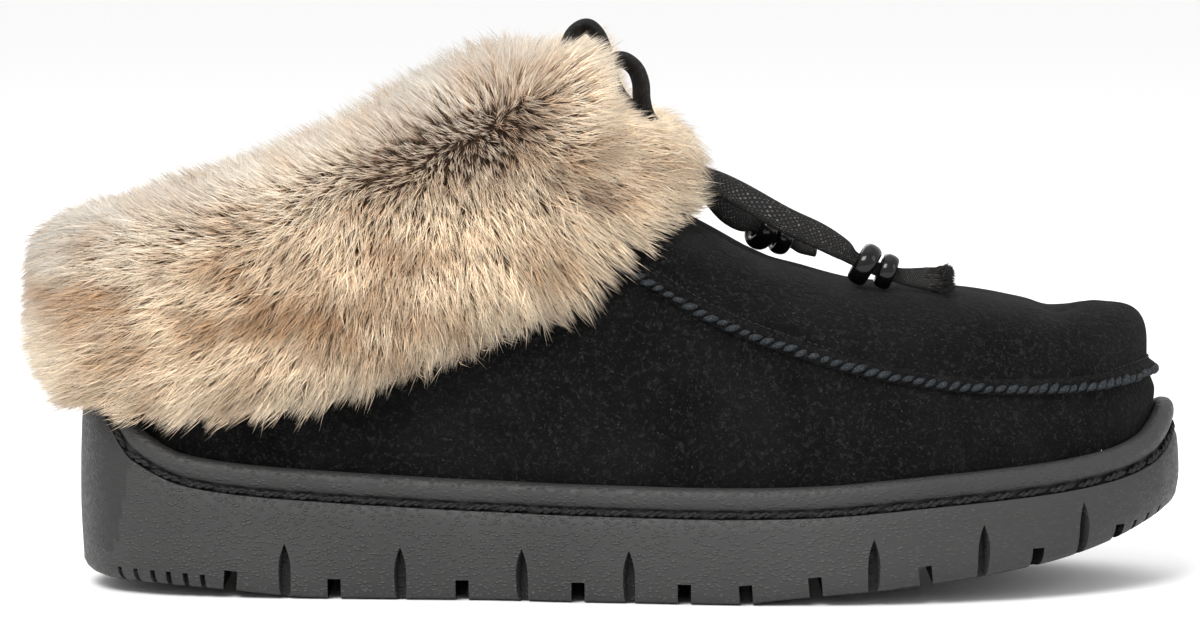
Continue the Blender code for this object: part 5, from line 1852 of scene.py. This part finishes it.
def dress_lining(upper):
    """Short fleece on the inside of the leather, as far as the opening shows it."""
    rng = np.random.default_rng(6)
    points, normals = sampled(upper, LINING_TRIES, rng)
    inner = -ways_out(points)
    inner[:, 2] = -0.2 * np.linalg.norm(inner, axis=1)
    facing = (inner * normals).sum(1) / (np.linalg.norm(inner, axis=1) + 1e-9)
    seen = (facing > 0.25) & (points[:, 2] > LINING_LOW) & (points[:, 0] < LINING_FRONT)
    keep = np.flatnonzero(seen)[:LINING_HAIRS]
    grow_pile("lining_pile", points[keep], normals[keep], LINING_PILE, rng, (0.46, 0.37, 0.29))


def grow_pile(name, points, normals, long, rng, tone):
    """Short swaying hairs over a surface, in one tone with a darker root and a lighter tip."""
    count = len(points)
    sway = rng.normal(0, 0.45, (count, 3))
    tips = points + (normals + sway) * (long * rng.uniform(0.6, 1.1, count))[:, None] * MM
    tips = np.where((tips[:, 2] > 0)[:, None], tips, points)
    bends = points + normals * (0.45 * long * MM) + rng.normal(0, 0.35, (count, 3)) * MM
    roots = points - normals * 0.5 * MM
    none = np.zeros(count)
    values = {"tone": 0.35 + 0.4 * rng.random(count), "patch": none, "root_and_shade_share": none}
    values["pale"] = 0.4 + 0.4 * rng.random(count)
    pile = hairs(name, roots, bends, tips, rng.uniform(0.35, 0.6, count) * MM, values)
    deep, brown = ((*[c * share for c in tone], 1) for share in (0.3, 0.6))
    light = (*[min(c * 1.45, 0.9) for c in tone], 1)
    wear(pile, hair(name, deep, (*tone, 1), light, light, brown), "lining")


# ---------------------------------------------------------------- laces and beads


STRAP_SIDES = 28
STRAP_PER_SPAN = 8  # rings from one point of a route to the next


def strap_rows(route):
    """Rings of a flat strap's rounded section along a route, its line and the ways ahead."""
    points = smooth_route(route, STRAP_PER_SPAN)
    line = [Vector(p[:3]) * MM for p in points]
    tilt = [math.radians(p[3]) for p in points]
    size = [p[4] for p in points]
    ahead = [(b - a).normalized() for a, b in zip(line[:1] + line, line[1:] + line[-1:])]
    rows = []
    for k, point in enumerate(line):
        across = Vector((0, 1, 0))
        across = (across - ahead[k] * across.dot(ahead[k])).normalized()
        wide = across * math.cos(tilt[k]) + ahead[k].cross(across) * math.sin(tilt[k])
        thin = ahead[k].cross(wide)
        row = []
        for angle in ring_angles(STRAP_SIDES):
            u = math.copysign(abs(math.cos(angle)) ** 0.62, math.cos(angle)) * LACE_WIDTH / 2
            v = math.copysign(abs(math.sin(angle)) ** 0.80, math.sin(angle)) * LACE_THICKNESS / 2
            row.append(point + (wide * u + thin * v) * size[k])
        rows.append(row)
    return rows, line, ahead


def make_strap(name, route):
    """A closed strap along a route, with its path where it stands and its length."""
    rows, line = strap_rows(route)[:2]
    length = sum((b - a).length for a, b in zip(line, line[1:]))
    girth = 2 * (LACE_WIDTH + LACE_THICKNESS) / MM * 0.86
    bm = skin(rows, uv_size=(girth, length / MM))
    bmesh.ops.holes_fill(bm, edges=bm.edges, sides=40)
    bmesh.ops.recalc_face_normals(bm, faces=bm.faces)
    return smooth(plain_object(name, bm), 60), [placed(point) for point in line], length


def dress_laces():
    """The knot, beads and frayed tip, and the four cords that carry them."""
    woven = woven_lace()
    knot = dress_knot(woven)
    beads = {}
    shine = polished()
    for name, *sizes in BEADS:
        beads[name] = dress_bead(name, *sizes, shine)
    fray = dress_fray()
    plans = (
        ("strap_end_outer", "lace_end_outer", OUTER_END, "bare",
         [beads["bead_outer_large"], beads["bead_outer_small"], fray]),
        ("strap_end_inner", "lace_end_inner", INNER_END, "bare",
         [beads["bead_inner_large"], beads["bead_inner_small"]]),
        ("strap_loop_outer", "lace_loop_outer", OUTER_LOOP, "object", [knot]),
        ("strap_loop_inner", "lace_loop_inner", INNER_LOOP, "object", []),
    )
    for name, node, route, far_end, carried in plans:
        strap, path, length = make_strap(name, route)
        wear(strap, woven, "lace", node)
        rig.cord(
            strap, exit=path[0], length=round(length, 4), diameter=LACE_WIDTH, far_end=far_end,
            stiffness="medium", lay="loose", path=path, with_pieces=carried,
        )


KNOT_WRAPS = ((0.35, -1.6), (-0.25, 1.7))  # how far each turn leans, and its place in millimetres
WRAP_HALF_WIDTH = 1.7 * MM
WRAP_HALF_THICKNESS = 0.55 * MM


def dress_knot(woven):
    """The knot: a tight core of strap with two turns wrapped round it."""
    half = (KNOT_LENGTH / 2, CLEFT_HALF_WIDTH - 2 * FIT_GAP, KNOT_HEIGHT / 2)
    centre = Vector(KNOT_CENTRE) * MM
    bm = bmesh.new()
    bmesh.ops.create_uvsphere(bm, u_segments=40, v_segments=24, radius=1)
    for vert in bm.verts:
        x, y, z = vert.co
        swell = 0.86 * (1 - 0.12 * math.cos(math.pi * x) ** 2)
        vert.co = placed(centre + Vector((x * half[0], y * half[1] * swell, z * half[2] * swell)))
    core = smooth(plain_object("knot_core", bm), 80)
    for lean, shift in KNOT_WRAPS:
        rows = []
        for turn in ring_angles(48):
            out = Vector((0, math.cos(turn), math.sin(turn)))
            middle = Vector((
                shift * MM + lean * half[2] * out.z * 0.5, half[1] * 0.90 * out.y, half[2] * 0.90 * out.z,
            ))
            rows.append([
                centre + middle + Vector((WRAP_HALF_WIDTH * math.cos(angle), 0, 0))
                + out * WRAP_HALF_THICKNESS * math.sin(angle)
                for angle in ring_angles(16)
            ])
        wrap = skin(rows, uv_size=(8, 26))
        mesh = bpy.data.meshes.new("wrap")
        wrap.to_mesh(mesh)
        wrap.free()
        joined = bmesh.new()
        joined.from_mesh(core.data)
        joined.from_mesh(mesh)
        joined.to_mesh(core.data)
        joined.free()
    return wear(smooth(core, 60), woven, "lace", "lace_knot")


def dress_bead(name, centre, axis, diameter, length, shine):
    """A turned ring bead with a softly rounded rim and a rolled bore."""
    bore, rim = BEAD_BORE / 2, diameter / 2
    middle, radial = (bore + rim) / 2, (rim - bore) / 2
    bm = bmesh.new()
    ring = []
    for angle in ring_angles(18)[:-1]:
        out = math.copysign(abs(math.cos(angle)) ** 0.85, math.cos(angle))
        ring.append(bm.verts.new((middle + radial * out, 0, length / 2 * math.sin(angle))))
    edges = [bm.edges.new((a, b)) for a, b in zip(ring, ring[1:] + ring[:1])]
    bmesh.ops.spin(
        bm, geom=ring + edges, angle=2 * math.pi, steps=44, axis=(0, 0, 1), cent=(0, 0, 0), use_merge=True
    )
    turn = Vector(axis).to_track_quat("Z", "Y").to_matrix().to_4x4()
    bmesh.ops.transform(bm, matrix=Matrix.Translation(placed(Vector(centre) * MM)) @ turn, verts=bm.verts)
    bmesh.ops.recalc_face_normals(bm, faces=bm.faces)
    bead = smooth(plain_object(name.replace("bead", "ring_bead"), bm), 80)
    return wear(bead, shine, "bead", name)


FRAY_HAIRS = 2600
FRAY_SPREAD, FRAY_REACH = 9, 38  # rings back from the tip: how they spread, and the last


def dress_fray():
    """Loose fibres at the cut end of the near lace, and lying along its last stretch."""
    rng = np.random.default_rng(3)
    rows, line, ahead = strap_rows(OUTER_END)
    count, last = FRAY_HAIRS, len(rows) - 1
    pick = last - np.minimum(np.abs(rng.normal(0, FRAY_SPREAD, count)).astype(int), FRAY_REACH)
    around = rng.integers(0, STRAP_SIDES, count)
    centres = np.array([placed(line[k]) for k in pick])
    edge = np.array([placed(rows[k][j]) for k, j in zip(pick, around)])
    forward = np.array([ahead[k] for k in pick])
    out = edge - centres
    out /= np.linalg.norm(out, axis=1)[:, None]
    near_end = rising(pick - last, -16, 16)
    roots = centres + (edge - centres) * rng.uniform(0.75, 1.0, count)[:, None]
    way = forward * 0.9 + out * (0.12 + 0.5 * near_end)[:, None]
    way += rng.normal(0, 1, (count, 3)) * (0.12 + 0.42 * near_end)[:, None]
    way /= np.linalg.norm(way, axis=1)[:, None]
    length = rng.uniform(1.3, 3.2, count) * MM * (1 - 0.2 * near_end)
    tips = roots + way * length[:, None]
    bends = (roots + tips) / 2 + out * 0.15 * MM + rng.normal(0, 0.12, (count, 3)) * MM
    roots = roots - way * 0.4 * MM
    widths = rng.uniform(0.16, 0.30, count) * MM
    fray = hairs("lace_fray", roots, bends, tips, widths, {"tone": rng.random(count) ** 2})
    made = Finish("frayed_fibre")
    made.colour(made.mix(made.value_of("tone"), grey(0.003), (0.035, 0.031, 0.028, 1)))
    made.set(**{"Roughness": 0.7, "Specular IOR Level": 0.3})
    return wear(fray, made.material, "lace")


# ---------------------------------------------------------------- the whole shoe


def main():
    set_camera()
    set_studio()
    dress_laces()
    dress_sole()
    upper = dress_upper()
    dress_fur()
    dress_insole()
    dress_lining(upper)
    with open("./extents.json", "w") as file:
        json.dump([[list(corner) for corner in CAD_BOX], [list(corner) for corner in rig.bounds()]], file)


main()
